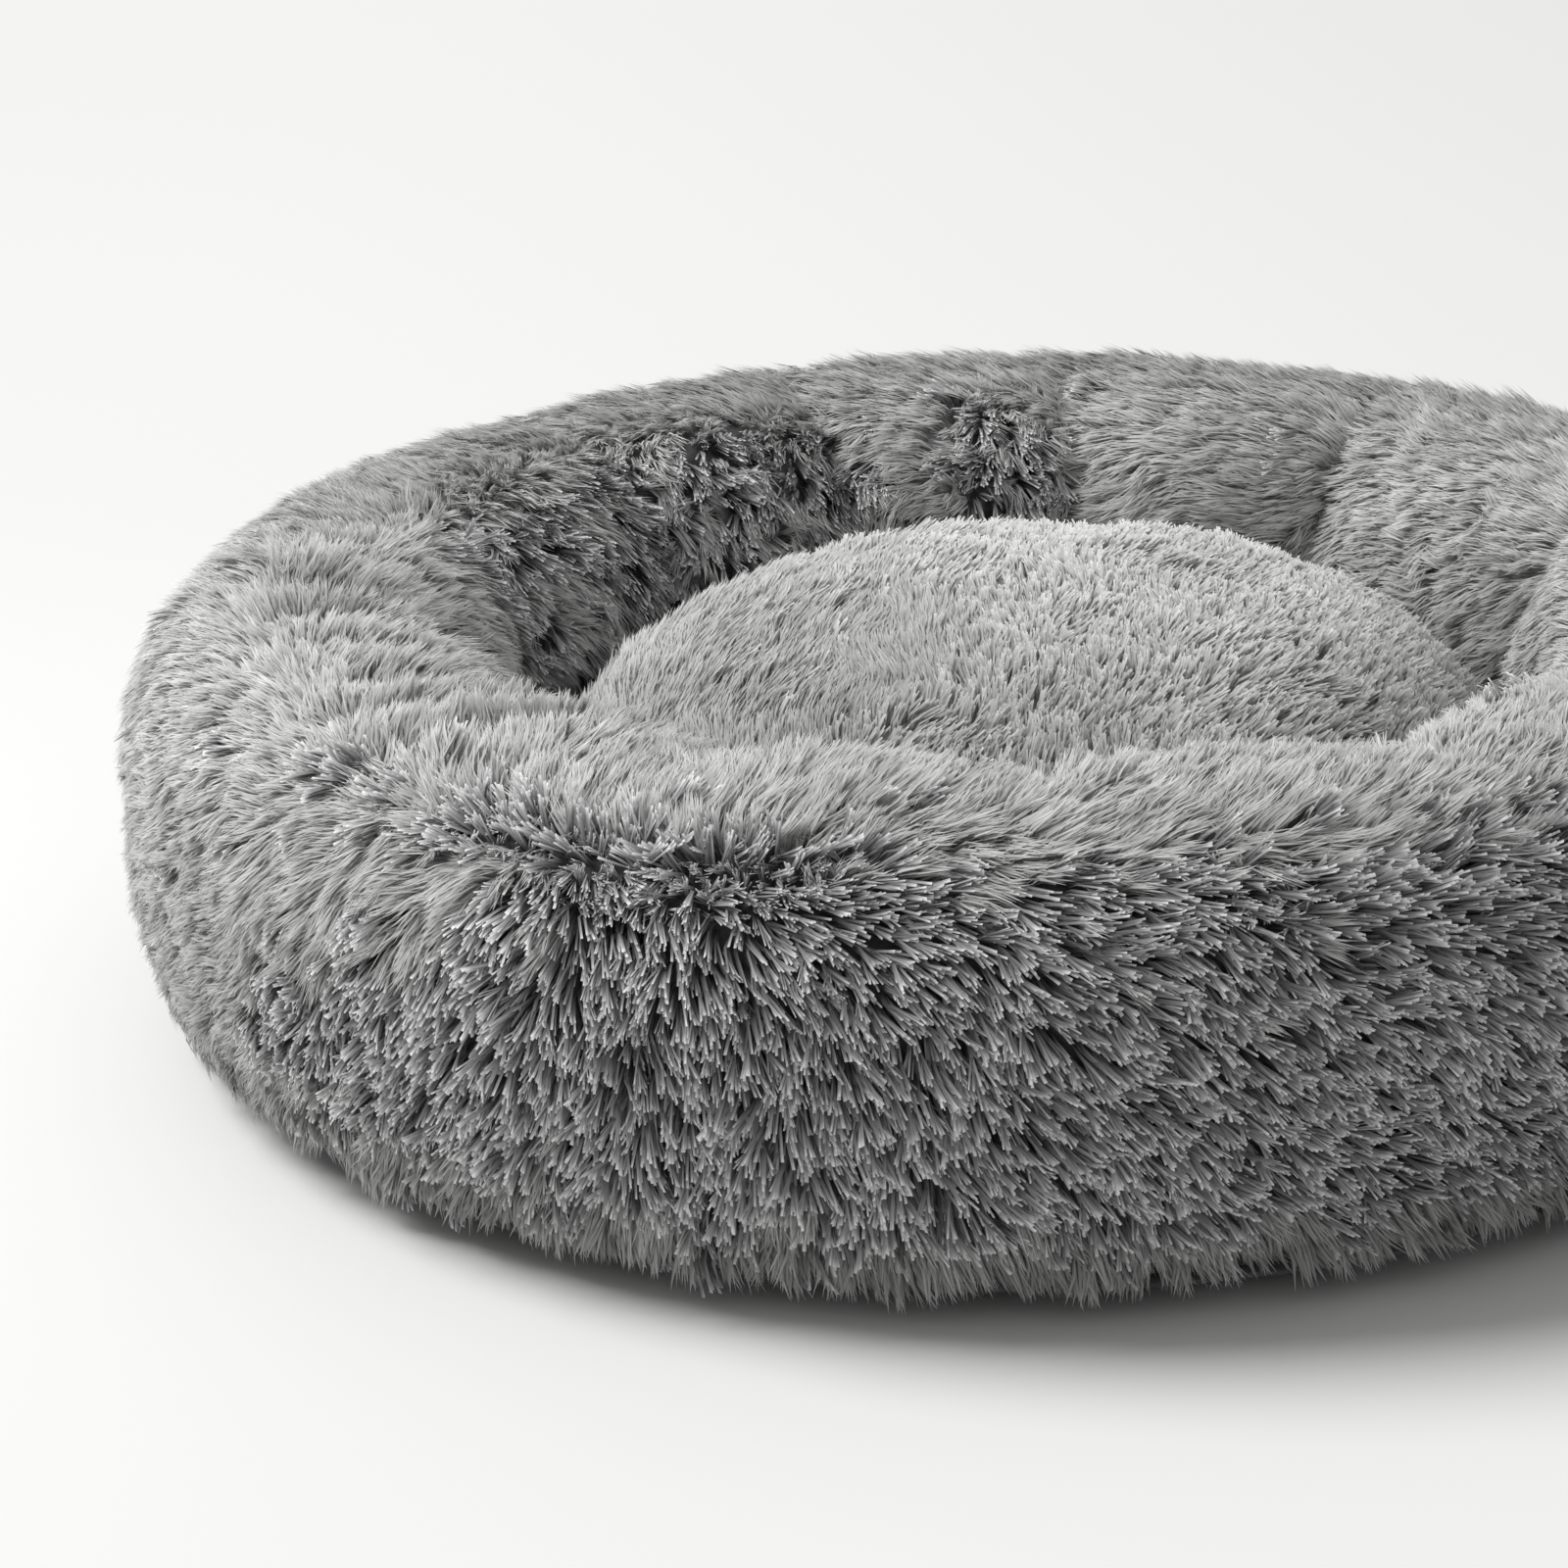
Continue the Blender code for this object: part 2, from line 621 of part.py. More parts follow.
def build_cushion(lift_empty, materials, parts):
    rise = CUSHION_CROWN_HEIGHT - CUSHION_SEAM_HEIGHT
    floor = BASE_THICKNESS + SKIN_GAP
    outer = dome_points(CUSHION_RADIUS, rise, CUSHION_POWER, CUSHION_DOME_POINTS)
    inner = dome_points(
        CUSHION_RADIUS - CUSHION_PLUSH, rise - CUSHION_PLUSH, CUSHION_POWER, CUSHION_DOME_POINTS
    )
    turn_profile("cushion_top", outer + inner[::-1], CUSHION_COLUMNS, materials["cushion"], parts, lift_empty)

    inside_radius = CUSHION_RADIUS - CUSHION_PLUSH
    cloth_radius = inside_radius + CUSHION_CLOTH
    cloth_out = foot_points(cloth_radius, floor, CUSHION_FOOT_POINTS)
    cloth_in = foot_points(inside_radius, floor + CUSHION_CLOTH, CUSHION_FOOT_POINTS)
    underside = [(0.0, floor + CUSHION_CLOTH)] + cloth_in[::-1] + cloth_out + [(0.0, floor)]
    turn_profile("cushion_underside", underside, CUSHION_COLUMNS, materials["cloth"], parts, lift_empty)

    fill_radius = inside_radius - SKIN_GAP
    fill_floor = floor + CUSHION_CLOTH + SKIN_GAP
    crown = dome_points(
        fill_radius, rise - CUSHION_PLUSH - SKIN_GAP, CUSHION_POWER, CUSHION_DOME_POINTS
    )
    foot = foot_points(fill_radius, fill_floor, CUSHION_FOOT_POINTS)
    turn_profile(
        "cushion_fill", crown + foot + [(0.0, fill_floor)], CUSHION_COLUMNS, materials["fill"], parts,
        lift_empty,
    )


def make_materials():
    return {
        "plush": make_material("ring_plush", (0.30, 0.30, 0.31), 0.95),
        "cushion": make_material("cushion_plush", (0.40, 0.40, 0.41), 0.95),
        "liner": make_material("nonwoven", (0.80, 0.80, 0.80), 0.9),
        "fill": make_material("polyester_fill", (0.90, 0.90, 0.88), 1.0),
        "base": make_material("base_cloth", (0.10, 0.10, 0.11), 0.8),
        "cloth": make_material("underside_cloth", (0.28, 0.28, 0.29), 0.85),
        "binding": make_material("binding_webbing", (0.12, 0.12, 0.13), 0.8),
        "tape": make_material("zip_tape", (0.16, 0.16, 0.17), 0.8),
        "coil": make_material("zip_coil", (0.18, 0.18, 0.19), 0.45),
        "metal": make_material("zip_metal", (0.55, 0.55, 0.56), 0.35, 1.0),
    }


def add_empty(name, collection):
    empty = bpy.data.objects.new(name, None)
    collection.objects.link(empty)
    return empty


def main():
    clear_scene()
    parts, cutters = make_collections()
    materials = make_materials()
    zip_line = ZipLine()
    slider_deg = ZIP_START_DEG + zip_line.arc_deg(
        STOP_INSET + STOP_LENGTH + SLIDER_STOP_GAP + SLIDER_LENGTH / 2.0
    )
    zip_axis = add_empty("zip_axis", parts)
    lift_axis = add_empty("cushion_lift_axis", parts)
    build_bolster(zip_line, materials, parts)
    build_base(zip_line, materials, parts)
    build_zip(zip_line, slider_deg, materials, parts)
    build_slider(zip_line, slider_deg, zip_axis, materials, parts, cutters)
    build_pull(zip_line, slider_deg, zip_axis, materials, parts)
    build_cushion(lift_axis, materials, parts)


main()
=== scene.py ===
import math
import random

import bmesh
import bpy
import numpy as np
from mathutils import Matrix, Vector


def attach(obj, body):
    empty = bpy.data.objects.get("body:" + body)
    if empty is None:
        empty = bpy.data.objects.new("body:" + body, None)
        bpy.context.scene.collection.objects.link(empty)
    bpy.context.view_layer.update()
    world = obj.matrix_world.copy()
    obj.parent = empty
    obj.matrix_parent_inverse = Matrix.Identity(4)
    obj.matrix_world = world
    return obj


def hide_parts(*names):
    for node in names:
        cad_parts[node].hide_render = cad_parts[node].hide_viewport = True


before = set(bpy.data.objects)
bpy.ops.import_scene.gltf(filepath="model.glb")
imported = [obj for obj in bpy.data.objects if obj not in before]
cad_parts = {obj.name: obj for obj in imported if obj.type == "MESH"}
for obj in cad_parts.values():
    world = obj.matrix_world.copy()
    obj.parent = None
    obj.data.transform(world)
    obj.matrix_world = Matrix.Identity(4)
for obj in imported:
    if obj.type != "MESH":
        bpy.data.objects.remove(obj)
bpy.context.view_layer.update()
mm = 0.001
bed = "bed"  # body of the ring, base and zip
loose = "cushion"  # body of the cushion


# Small helpers

def srgb(hexColour):
    # written as sRGB hex, turned to the linear values that Blender wants
    channels = [int(hexColour[i:i + 2], 16) / 255 for i in (1, 3, 5)]
    linear = [c / 12.92 if c <= 0.04045 else ((c + 0.055) / 1.055) ** 2.4 for c in channels]
    return (*linear, 1.0)


def ease(value, start, end):
    share = np.clip((value - start) / (end - start), 0.0, 1.0)
    return share * share * (3.0 - 2.0 * share)


def unit(vectors):
    return vectors / np.maximum(np.linalg.norm(vectors, axis=-1, keepdims=True), 1e-9)


def addNode(tree, kind, inputs=None, **settings):
    # an input is a value, a socket, or a node that gives its first output
    node = tree.nodes.new(kind)
    for name, value in settings.items():
        setattr(node, name, value)
    for key, value in (inputs or {}).items():
        socket = node.inputs[key]
        if isinstance(value, bpy.types.Node):
            value = value.outputs[0]
        if isinstance(value, bpy.types.NodeSocket):
            tree.links.new(value, socket)
        else:
            socket.default_value = value
    return node


def newMaterial(name, **surface):
    material = bpy.data.materials.new(name)
    material.use_nodes = True
    shader = material.node_tree.nodes["Principled BSDF"]
    for key, value in surface.items():
        shader.inputs[key.replace("_", " ")].default_value = value
    return material, material.node_tree, shader


def newTree(name, inputs):
    # a Geometry Nodes tree with its named inputs, listed by kind
    tree = bpy.data.node_groups.new(name, "GeometryNodeTree")
    tree.interface.new_socket("Geometry", in_out="OUTPUT", socket_type="NodeSocketGeometry")
    for kind, labels in inputs.items():
        for label in labels:
            tree.interface.new_socket(label, in_out="INPUT", socket_type="NodeSocket" + kind)
    return tree, addNode(tree, "NodeGroupInput").outputs


def closeTree(tree, geometry, material):
    finished = addNode(tree, "GeometryNodeSetMaterial", {"Geometry": geometry, "Material": material})
    addNode(tree, "NodeGroupOutput", {"Geometry": finished})
    return tree


def linkObject(name, mesh, material=None):
    piece = bpy.data.objects.new(name, mesh)
    bpy.context.scene.collection.objects.link(piece)
    if material:
        mesh.materials.append(material)
    return piece


def plainMesh(piece, name):
    # what the modifiers make, as a plain mesh without them
    graph = bpy.context.evaluated_depsgraph_get()
    mesh = bpy.data.meshes.new_from_object(piece.evaluated_get(graph), depsgraph=graph)
    mesh.name = name
    piece.modifiers.clear()
    old = piece.data
    piece.data = mesh
    bpy.data.meshes.remove(old)
    return piece


def grow(name, tree, values, skin=None):
    # runs the tree on a skin, or on nothing where it makes its own mesh; the skin's object becomes the piece
    piece = skin or linkObject(name, bpy.data.meshes.new(name))
    modifier = piece.modifiers.new(tree.name, "NODES")
    modifier.node_group = tree
    identifiers = {item.name: item.identifier for item in tree.interface.items_tree
                   if item.item_type == "SOCKET" and item.in_out == "INPUT"}
    for label, value in values.items():
        modifier[identifiers[label]] = value
    piece.name = name
    return plainMesh(piece, name)


def thicken(piece, thickness):
    # a wall of even thickness, inwards from the outline
    wall = piece.modifiers.new("wall", "SOLIDIFY")
    wall.thickness = thickness
    wall.offset = -1
    return plainMesh(piece, piece.name)


def mendMesh(mesh, merge=0.001 * mm, flatten=None, close=False):
    # closes seams and poles and turns the faces outwards
    shape = bmesh.new()
    shape.from_mesh(mesh)
    bmesh.ops.remove_doubles(shape, verts=shape.verts, dist=merge)
    if flatten:
        bmesh.ops.dissolve_limit(shape, angle_limit=flatten, verts=shape.verts, edges=shape.edges)
    if close:
        bmesh.ops.holes_fill(shape, edges=[edge for edge in shape.edges if edge.is_boundary])
    bmesh.ops.recalc_face_normals(shape, faces=shape.faces)
    shape.to_mesh(mesh)
    shape.free()
    return mesh


def finishPiece(piece, body, slot, *nodes):
    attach(piece, body)
    if nodes:
        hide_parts(*nodes)


# Camera, floor and light

view = {
    "elevation": 21.6, "distance": 2.43, "focalPixels": 5875, "imageSide": 1600, "roll": -1.07,
    "centrePixel": (1050, 987),  # where the bed's centre on the floor falls in the photograph
    "sensor": 36.0, "nearest": 0.05,
}


def makeCamera():
    tilt = math.radians(view["elevation"])
    place = Vector((0, -math.cos(tilt), math.sin(tilt))) * view["distance"]
    forward = -place.normalized()
    up = Vector((1, 0, 0)).cross(forward)
    half = view["imageSide"] / 2
    across = view["centrePixel"][0] - half
    below = view["centrePixel"][1] - half
    aim = forward * view["focalPixels"] + up * below
    camera = bpy.data.cameras.new("camera")
    camera.sensor_width = view["sensor"]
    camera.lens = view["focalPixels"] / view["imageSide"] * view["sensor"]
    camera.shift_x = -across / view["imageSide"]
    camera.clip_start = view["nearest"]
    cameraObject = linkObject("camera", camera)
    turn = aim.to_track_quat("-Z", "Y").to_matrix().to_4x4()
    roll = Matrix.Rotation(math.radians(view["roll"]), 4, "Z")
    cameraObject.matrix_world = Matrix.Translation(place) @ turn @ roll
    bpy.context.scene.camera = cameraObject


light = {
    # one large soft window high on the left and a little behind, and pale walls all round
    "sunFrom": (-0.62, 0.17, 0.77), "sunStrength": 4.7, "sunAngle": 32.0,
    "world": "#F4F4F4", "worldStrength": 0.74,
}


def makeLight():
    sun = bpy.data.lights.new("window", "SUN")
    sun.energy = light["sunStrength"]
    sun.angle = math.radians(light["sunAngle"])
    sunObject = linkObject("window", sun)
    sunObject.rotation_euler = (-Vector(light["sunFrom"])).to_track_quat("-Z", "Y").to_euler()
    world = bpy.data.worlds.new("studio")
    bpy.context.scene.world = world
    world.use_nodes = True
    tree = world.node_tree
    tree.nodes.clear()
    path = addNode(tree, "ShaderNodeLightPath").outputs
    seen = path["Is Camera Ray"]
    for ray in ("Is Glossy Ray", "Is Transmission Ray"):
        seen = addNode(tree, "ShaderNodeMath", {0: seen, 1: path[ray]}, operation="MAXIMUM")
    ambient = addNode(tree, "ShaderNodeBackground",
                      {"Color": srgb(light["world"]), "Strength": light["worldStrength"]})
    backdrop = addNode(tree, "ShaderNodeBackground", {"Color": srgb(floor["tone"]), "Strength": 1.0})
    mix = addNode(tree, "ShaderNodeMixShader", {0: seen, 1: ambient, 2: backdrop})
    addNode(tree, "ShaderNodeOutputWorld", {"Surface": mix})


floor = {
    "size": 30.0, "tone": "#BFBFBE", "roughness": 0.9,
    # painted light on the floor: a pool of light painted beside the bed on the left, and painted falloff that
    # dims it to the back and the right
    "paintedPoolAt": (-0.6, 0.0, 0.0), "paintedPoolRadius": 0.75, "paintedPool": 0.1,
    "backSpan": (-0.2, 2.4), "paintedFalloffBack": -0.075, "sideSpan": (-0.6, 0.8), "paintedFalloffSide": -0.11,
}


def makeFloor():
    shape = bmesh.new()
    bmesh.ops.create_grid(shape, x_segments=1, y_segments=1, size=floor["size"] / 2)
    mesh = bpy.data.meshes.new("floor")
    shape.to_mesh(mesh)
    shape.free()
    material, tree, shader = newMaterial("paleFloor", Roughness=floor["roughness"])
    place = addNode(tree, "ShaderNodeTexCoord").outputs["Object"]
    parts = addNode(tree, "ShaderNodeSeparateXYZ", {0: place}).outputs
    reach = addNode(tree, "ShaderNodeVectorMath", {0: place, 1: floor["paintedPoolAt"]}, operation="DISTANCE")
    # the floor colour is scaled by painted light: the painted pool beside the bed, and painted falloff to the
    # back and the right
    level = 1.0
    for value, span, low, high in (
            (reach.outputs["Value"], (0.0, floor["paintedPoolRadius"]), floor["paintedPool"], 0.0),
            (parts["Y"], floor["backSpan"], 0.0, floor["paintedFalloffBack"]),
            (parts["X"], floor["sideSpan"], 0.0, floor["paintedFalloffSide"])):
        change = addNode(tree, "ShaderNodeMapRange", {
            "Value": value, "From Min": span[0], "From Max": span[1], "To Min": low, "To Max": high},
            interpolation_type="SMOOTHSTEP")
        level = addNode(tree, "ShaderNodeMath", {0: change, 1: level}, operation="ADD")
    toned = addNode(tree, "ShaderNodeVectorMath", {0: srgb(floor["tone"])[:3], "Scale": level},
                    operation="SCALE")
    tree.links.new(toned.outputs[0], shader.inputs["Base Color"])
    linkObject("floor", mesh, material)


makeCamera()
makeLight()
makeFloor()
print("camera, floor and light are in place")


# The ring's skin: rows go from the outer seam over the crest to the inner seam

ring = {
    "centreRadius": 0.290, "halfWidth": 0.085, "widest": 0.094, "crest": 0.191, "tuck": 0.016,
    "crestDrop": 11 * mm, "crestPeak": 208.0,
    "power": 2.4, "columns": 432, "rows": 84,
    "outerEdge": -33.0, "innerEdge": 240.0, "floor": 2.1 * mm,
    # the inner wall is drawn in at these azimuths
    "gathers": (20, 55, 85, 110, 135, 165, 190, 215, 245, 270, 300, 330, 355),
    "gatherDepth": 19 * mm, "gatherSharpness": 0.6,
    "gatherRise": (62, 150), "gatherFade": (200, 250), "gatherLoss": 0.65,
    # slow lumps of the stuffing: waves round the ring
    "lumps": 2.0 * mm, "lumpCounts": (3, 4, 5, 7, 9, 11, 14), "lumpSlant": 2, "lumpSeed": 5,
    "lumpRise": (-30, 20),
}


def gatherValley(azimuth):
    # one in a crease, zero on the crown of the pillow between two creases
    creases = np.array(ring["gathers"], float)
    after = np.min((creases[None, :] - azimuth[:, None]) % 360, axis=1)
    before = np.min((azimuth[:, None] - creases[None, :]) % 360, axis=1)
    share = before / np.maximum(before + after, 1e-9)
    return 1 - np.sin(np.pi * share) ** ring["gatherSharpness"]


def gatherWeight(angle):
    return ease(angle, *ring["gatherRise"]) * (1 - ring["gatherLoss"] * ease(angle, *ring["gatherFade"]))


def lumps(azimuth, angle, seed, strength):
    draw = random.Random(seed)
    total = np.zeros(np.broadcast(azimuth, angle).shape)
    for count in ring["lumpCounts"]:
        turn = draw.uniform(0, 360)
        slant = draw.uniform(-ring["lumpSlant"], ring["lumpSlant"])
        total = total + np.sin(np.radians(azimuth * count + angle * slant + turn)) / math.sqrt(count)
    return total * strength / 2


def ringPoints(azimuth, angle, depth, proud=0.0):
    # azimuth and angle are arrays of degrees; depth is below the outline of the plush, proud is added back
    valley = gatherValley(azimuth.ravel()).reshape(azimuth.shape)
    sink = depth + ring["gatherDepth"] * gatherWeight(angle) * valley - proud
    share = 2 / ring["power"]
    turn = np.radians(angle)
    drop = ring["crestDrop"] * (1 - np.cos(np.radians(azimuth - ring["crestPeak"]))) / 2
    upper = ring["crest"] - ring["widest"] - drop
    lower = ring["widest"] + ring["tuck"]
    tall = np.where(np.sin(turn) > 0, upper, lower) - sink
    wide = ring["halfWidth"] - sink
    radius = ring["centreRadius"] + wide * np.sign(np.cos(turn)) * np.abs(np.cos(turn)) ** share
    height = ring["widest"] + tall * np.sign(np.sin(turn)) * np.abs(np.sin(turn)) ** share
    height = np.maximum(height, ring["floor"])
    around = np.radians(azimuth)
    return np.stack([radius * np.cos(around), radius * np.sin(around), height], axis=-1)


noise = {"waves": 10, "spread": (0.6, 1.5), "turn": 6.3, "evenOut": 3.2, "sectionRadius": 0.09}


def noiseAt(place, seed, scale):
    # a seeded sum of plane waves in space, about -1 to 1; scale is their middle wavelength in metres
    draw = random.Random(seed)
    total = np.zeros(place.shape[:-1])
    for _ in range(noise["waves"]):
        heading = np.array([draw.gauss(0, 1) for _ in range(3)])
        heading /= np.linalg.norm(heading)
        total += np.sin(place @ heading * draw.uniform(*noise["spread"]) * 2 * math.pi / scale
                        + draw.uniform(0, noise["turn"]))
    return total / noise["evenOut"]


def ringNoise(azimuth, angle, seed, scale):
    around = np.radians(azimuth)
    place = np.stack([np.cos(around) * ring["centreRadius"], np.sin(around) * ring["centreRadius"],
                      np.radians(angle) * noise["sectionRadius"]], axis=-1)
    return noiseAt(place, seed, scale)


comb = {
    # which way the pile lies, at section angles from the outer seam over the crest to the inner wall:
    # 0 is round the ring anticlockwise, 90 is up the section and over the crest, -90 is down the outside
    "angles": (-20, 5, 25, 42, 54, 66, 80, 95, 115, 140, 170),
    "stations": {
        -180: (-110, -105, -100, -110, -115, -120, -125, 165, 150, 145, 150),
        -170: (-135, -135, -130, -120, -122, -125, -150, 145, 135, 135, 140),
        -160: (-140, -140, -140, -140, -149, -155, 170, 128, 118, 115, 120),
        -150: (-140, -140, -137, -142, -150, -165, 150, 120, 110, 105, 110),
        -140: (-132, -131, -132, -142, -160, 150, 125, 116, 105, 100, 100),
        -132: (-124, -120, -118, -130, 160, 115, 110, 108, 105, 95, 95),
        -125: (-124, -118, -116, -125, 130, 90, 100, 105, 105, 95, 90),
        -118: (-115, -116, -103, -98, 120, 90, 100, 112, 105, 95, 90),
        -110: (-100, -90, -86, -70, 85, 66, 76, 88, 95, 95, 90),
        -104: (-90, -84, -66, -35, 10, 45, 65, 82, 90, 92, 90),
        -97: (-80, -72, -52, -14, 4, 28, 54, 74, 88, 90, 90),
        -90: (-72, -57, -40, -14, 3, 30, 50, 68, 85, 90, 90),
        -75: (-50, -42, -34, -14, -3, 20, 38, 52, 70, 80, 90),
        -60: (-45, -28, -25, -16, -3, 15, 34, 43, 60, 75, 90),
        -20: (-40, -30, -22, -12, 0, 15, 30, 40, 50, 60, 70),
        20: (-40, -30, -22, -12, 0, 8, 15, 20, 30, 40, 50),
        50: (-40, -30, -25, -18, -12, -8, -5, 0, 15, 30, 35),
        65: (-40, -30, -25, -20, -18, -15, -10, 0, 2, 8, 22),
        80: (-40, -32, -28, -24, -22, -20, -18, -10, 2, 10, 18),
        100: (-45, -38, -32, -28, -26, -25, -24, -28, -12, 8, 16),
        115: (-55, -48, -42, -36, -32, -28, -20, -22, -5, 25, 30),
        130: (-70, -65, -60, -55, -52, -50, -50, -45, 50, 90, 60),
        140: (-85, -82, -80, -78, -75, -65, -46, -15, 40, 110, 100),
        150: (-95, -95, -92, -92, -92, -90, -87, -70, 60, 115, 110),
        160: (-105, -105, -104, -104, -104, -104, -104, -100, 90, 115, 130),
        170: (-110, -108, -105, -108, -110, -112, -118, -130, 140, 140, 150),
    },
    "noise": 0.16, "noiseScale": 0.11, "noiseSeeds": (21, 22),
    "fineNoise": 0.26, "fineScale": 0.027, "fineSeeds": (23, 24),
    # where the pile is matted into hanging locks: azimuth, angle, half width of each in degrees
    "mats": ((91, 142, 7, 34), (111, 145, 8, 34), (124, 138, 8, 32), (138, 135, 9, 36), (152, 140, 8, 34),
             (166, 142, 8, 30), (322, 120, 8, 25)),
    "matUp": 0.9, "matUpNoise": 0.4, "matRoundNoise": 0.6, "matNoises": ((25, 0.03), (26, 0.035)),
    # towards the base seam the pile lies more evenly, and hangs down
    "evenSpan": (12, 28), "evenShare": 0.7, "hangSpan": (14, 32), "hang": 0.35, "hangShare": 0.25,
}


def combed(azimuth, angle):
    # how the pile leans: up the section, round the ring, and how matted it is
    places = sorted(comb["stations"])
    headings = np.radians([comb["stations"][place] for place in places])
    places, headings = places + [places[0] + 360], np.vstack([headings, headings[:1]])
    turned = (azimuth + 180) % 360 - 180
    at = np.clip(np.searchsorted(places, turned, side="right") - 1, 0, len(places) - 2)
    low = np.array(places)[at]
    share = (turned - low) / (np.array(places)[at + 1] - low)
    upward, sideways = np.zeros(azimuth.shape), np.zeros(azimuth.shape)
    for lean, wave in ((upward, np.sin), (sideways, np.cos)):
        table = wave(headings)
        for row in range(azimuth.shape[0]):
            # the section angle is the same along a row of the skin
            level = np.array([np.interp(angle[row, 0], comb["angles"], station) for station in table])
            lean[row] = level[at[row]] * (1 - share[row]) + level[at[row] + 1] * share[row]
    mat = np.zeros(azimuth.shape)
    for place, height, wide, tall in comb["mats"]:
        off = (azimuth - place + 180) % 360 - 180
        mat = np.maximum(mat, np.exp(-(off / wide) ** 4 - ((angle - height) / tall) ** 4))
    matNoises = [ringNoise(azimuth, angle, *values) for values in comb["matNoises"]]
    upward = upward * (1 - mat) + mat * (comb["matUp"] + comb["matUpNoise"] * matNoises[0])
    sideways = sideways * (1 - mat) + mat * comb["matRoundNoise"] * matNoises[1]
    even = 1 - comb["evenShare"] * ease(-angle, *comb["evenSpan"])
    for strength, seeds, scale in ((comb["noise"], comb["noiseSeeds"], comb["noiseScale"]),
                                   (comb["fineNoise"] * even, comb["fineSeeds"], comb["fineScale"])):
        upward = upward + strength * ringNoise(azimuth, angle, seeds[0], scale)
        sideways = sideways + strength * ringNoise(azimuth, angle, seeds[1], scale)
    hang = ease(-angle, *comb["hangSpan"])
    return upward - comb["hang"] * hang, sideways * (1 - comb["hangShare"] * hang), mat


steps = {
    # shingled steps of pile over the left of the crest: azimuths and angles in degrees
    "from": 176.0, "to": 236.0, "spacing": 8.5, "rise": 8 * mm, "angle": 92.0, "spread": 30.0, "slant": 0.16,
    "fadeIn": (-8, 6), "fadeOut": (-8, 0), "drift": 1.6, "driftSeed": 41, "driftScale": 0.07,
    "patchy": 0.35, "patchSeed": 42, "patchScale": 0.1, "slope": 0.85, "edge": 0.12, "sink": 0.45,
}


def crestSteps(azimuth, angle):
    place = (azimuth - steps["slant"] * (angle - steps["angle"])) % 360
    place = place + steps["drift"] * ringNoise(azimuth, angle, steps["driftSeed"], steps["driftScale"])
    share = (place / steps["spacing"]) % 1
    weight = ease(place, *(steps["from"] + fade for fade in steps["fadeIn"]))
    weight = weight * (1 - ease(place, *(steps["to"] + fade for fade in steps["fadeOut"])))
    weight = weight * np.exp(-((angle - steps["angle"]) / steps["spread"]) ** 2)
    patch = ringNoise(azimuth, angle, steps["patchSeed"], steps["patchScale"])
    weight = weight * (1 - steps["patchy"] + steps["patchy"] * patch)
    saw = ease(share, 0.0, steps["slope"]) * ease(1 - share, 0.0, steps["edge"])
    return steps["rise"] * weight * (saw - steps["sink"])


def gridMesh(name, points, closed=False):
    # points is rows by columns by 3; faces look away from the inside, and clothMap is in metres
    rows, columns = points.shape[:2]
    mesh = bpy.data.meshes.new(name)
    last = columns if closed else columns - 1
    row, column = np.meshgrid(np.arange(rows - 1), np.arange(last), indexing="ij")
    ahead = (column + 1) % columns
    quads = np.stack([row * columns + column, row * columns + ahead,
                      (row + 1) * columns + ahead, (row + 1) * columns + column], axis=-1).reshape(-1, 4)
    mesh.from_pydata(points.reshape(-1, 3).tolist(), [], quads.tolist())
    mesh.polygons.foreach_set("use_smooth", [True] * len(mesh.polygons))
    widths = np.linalg.norm(np.diff(points, axis=1, append=points[:, :1]), axis=-1)
    heights = np.linalg.norm(np.diff(points, axis=0), axis=-1)
    across = np.concatenate([[0], np.cumsum(np.max(widths, axis=0))])
    upward = np.concatenate([[0], np.cumsum(np.max(heights, axis=1))])
    corners = np.stack([across[column], upward[row], across[column + 1], upward[row],
                        across[column + 1], upward[row + 1], across[column], upward[row + 1]], axis=-1)
    mesh.uv_layers.new(name="clothMap").data.foreach_set("uv", corners.astype(np.float32).ravel())
    return mesh


def turnedPoints(profile, columns):
    # a profile of radius and height pairs, turned round the bed's axis
    profile = np.array(profile, float)
    around = np.arange(columns) * 2 * math.pi / columns
    return np.stack([profile[:, :1] * np.cos(around), profile[:, :1] * np.sin(around),
                     np.repeat(profile[:, 1:], columns, axis=1)], axis=-1)


def storeOnPoints(mesh, fields):
    # grids of numbers or of vectors, one for each point of the mesh
    for name, values in fields.items():
        kind, key = ("FLOAT_VECTOR", "vector") if values.ndim == 3 else ("FLOAT", "value")
        layer = mesh.attributes.new(name, kind, "POINT")
        layer.data.foreach_set(key, np.ascontiguousarray(values, dtype=np.float32).ravel())


# Tufts of pile: locks of fibres that rise from the backing and lean over along +X

tuftRules = {
    # how the strands of a tuft differ; its strands gather in a few clumps
    "clumps": 3, "clumpReach": 0.8 * mm, "clumpSway": 0.08,
    "lengths": (0.82, 1.12), "widths": (0.75, 1.2), "leanSpread": 0.08, "swaySpread": 0.12,
    "curve": 1.25, "rise": 1.05, "flattest": 0.05, "rootDepth": 2 * mm, "sideTurn": 0.25, "rollLoss": 0.4,
}


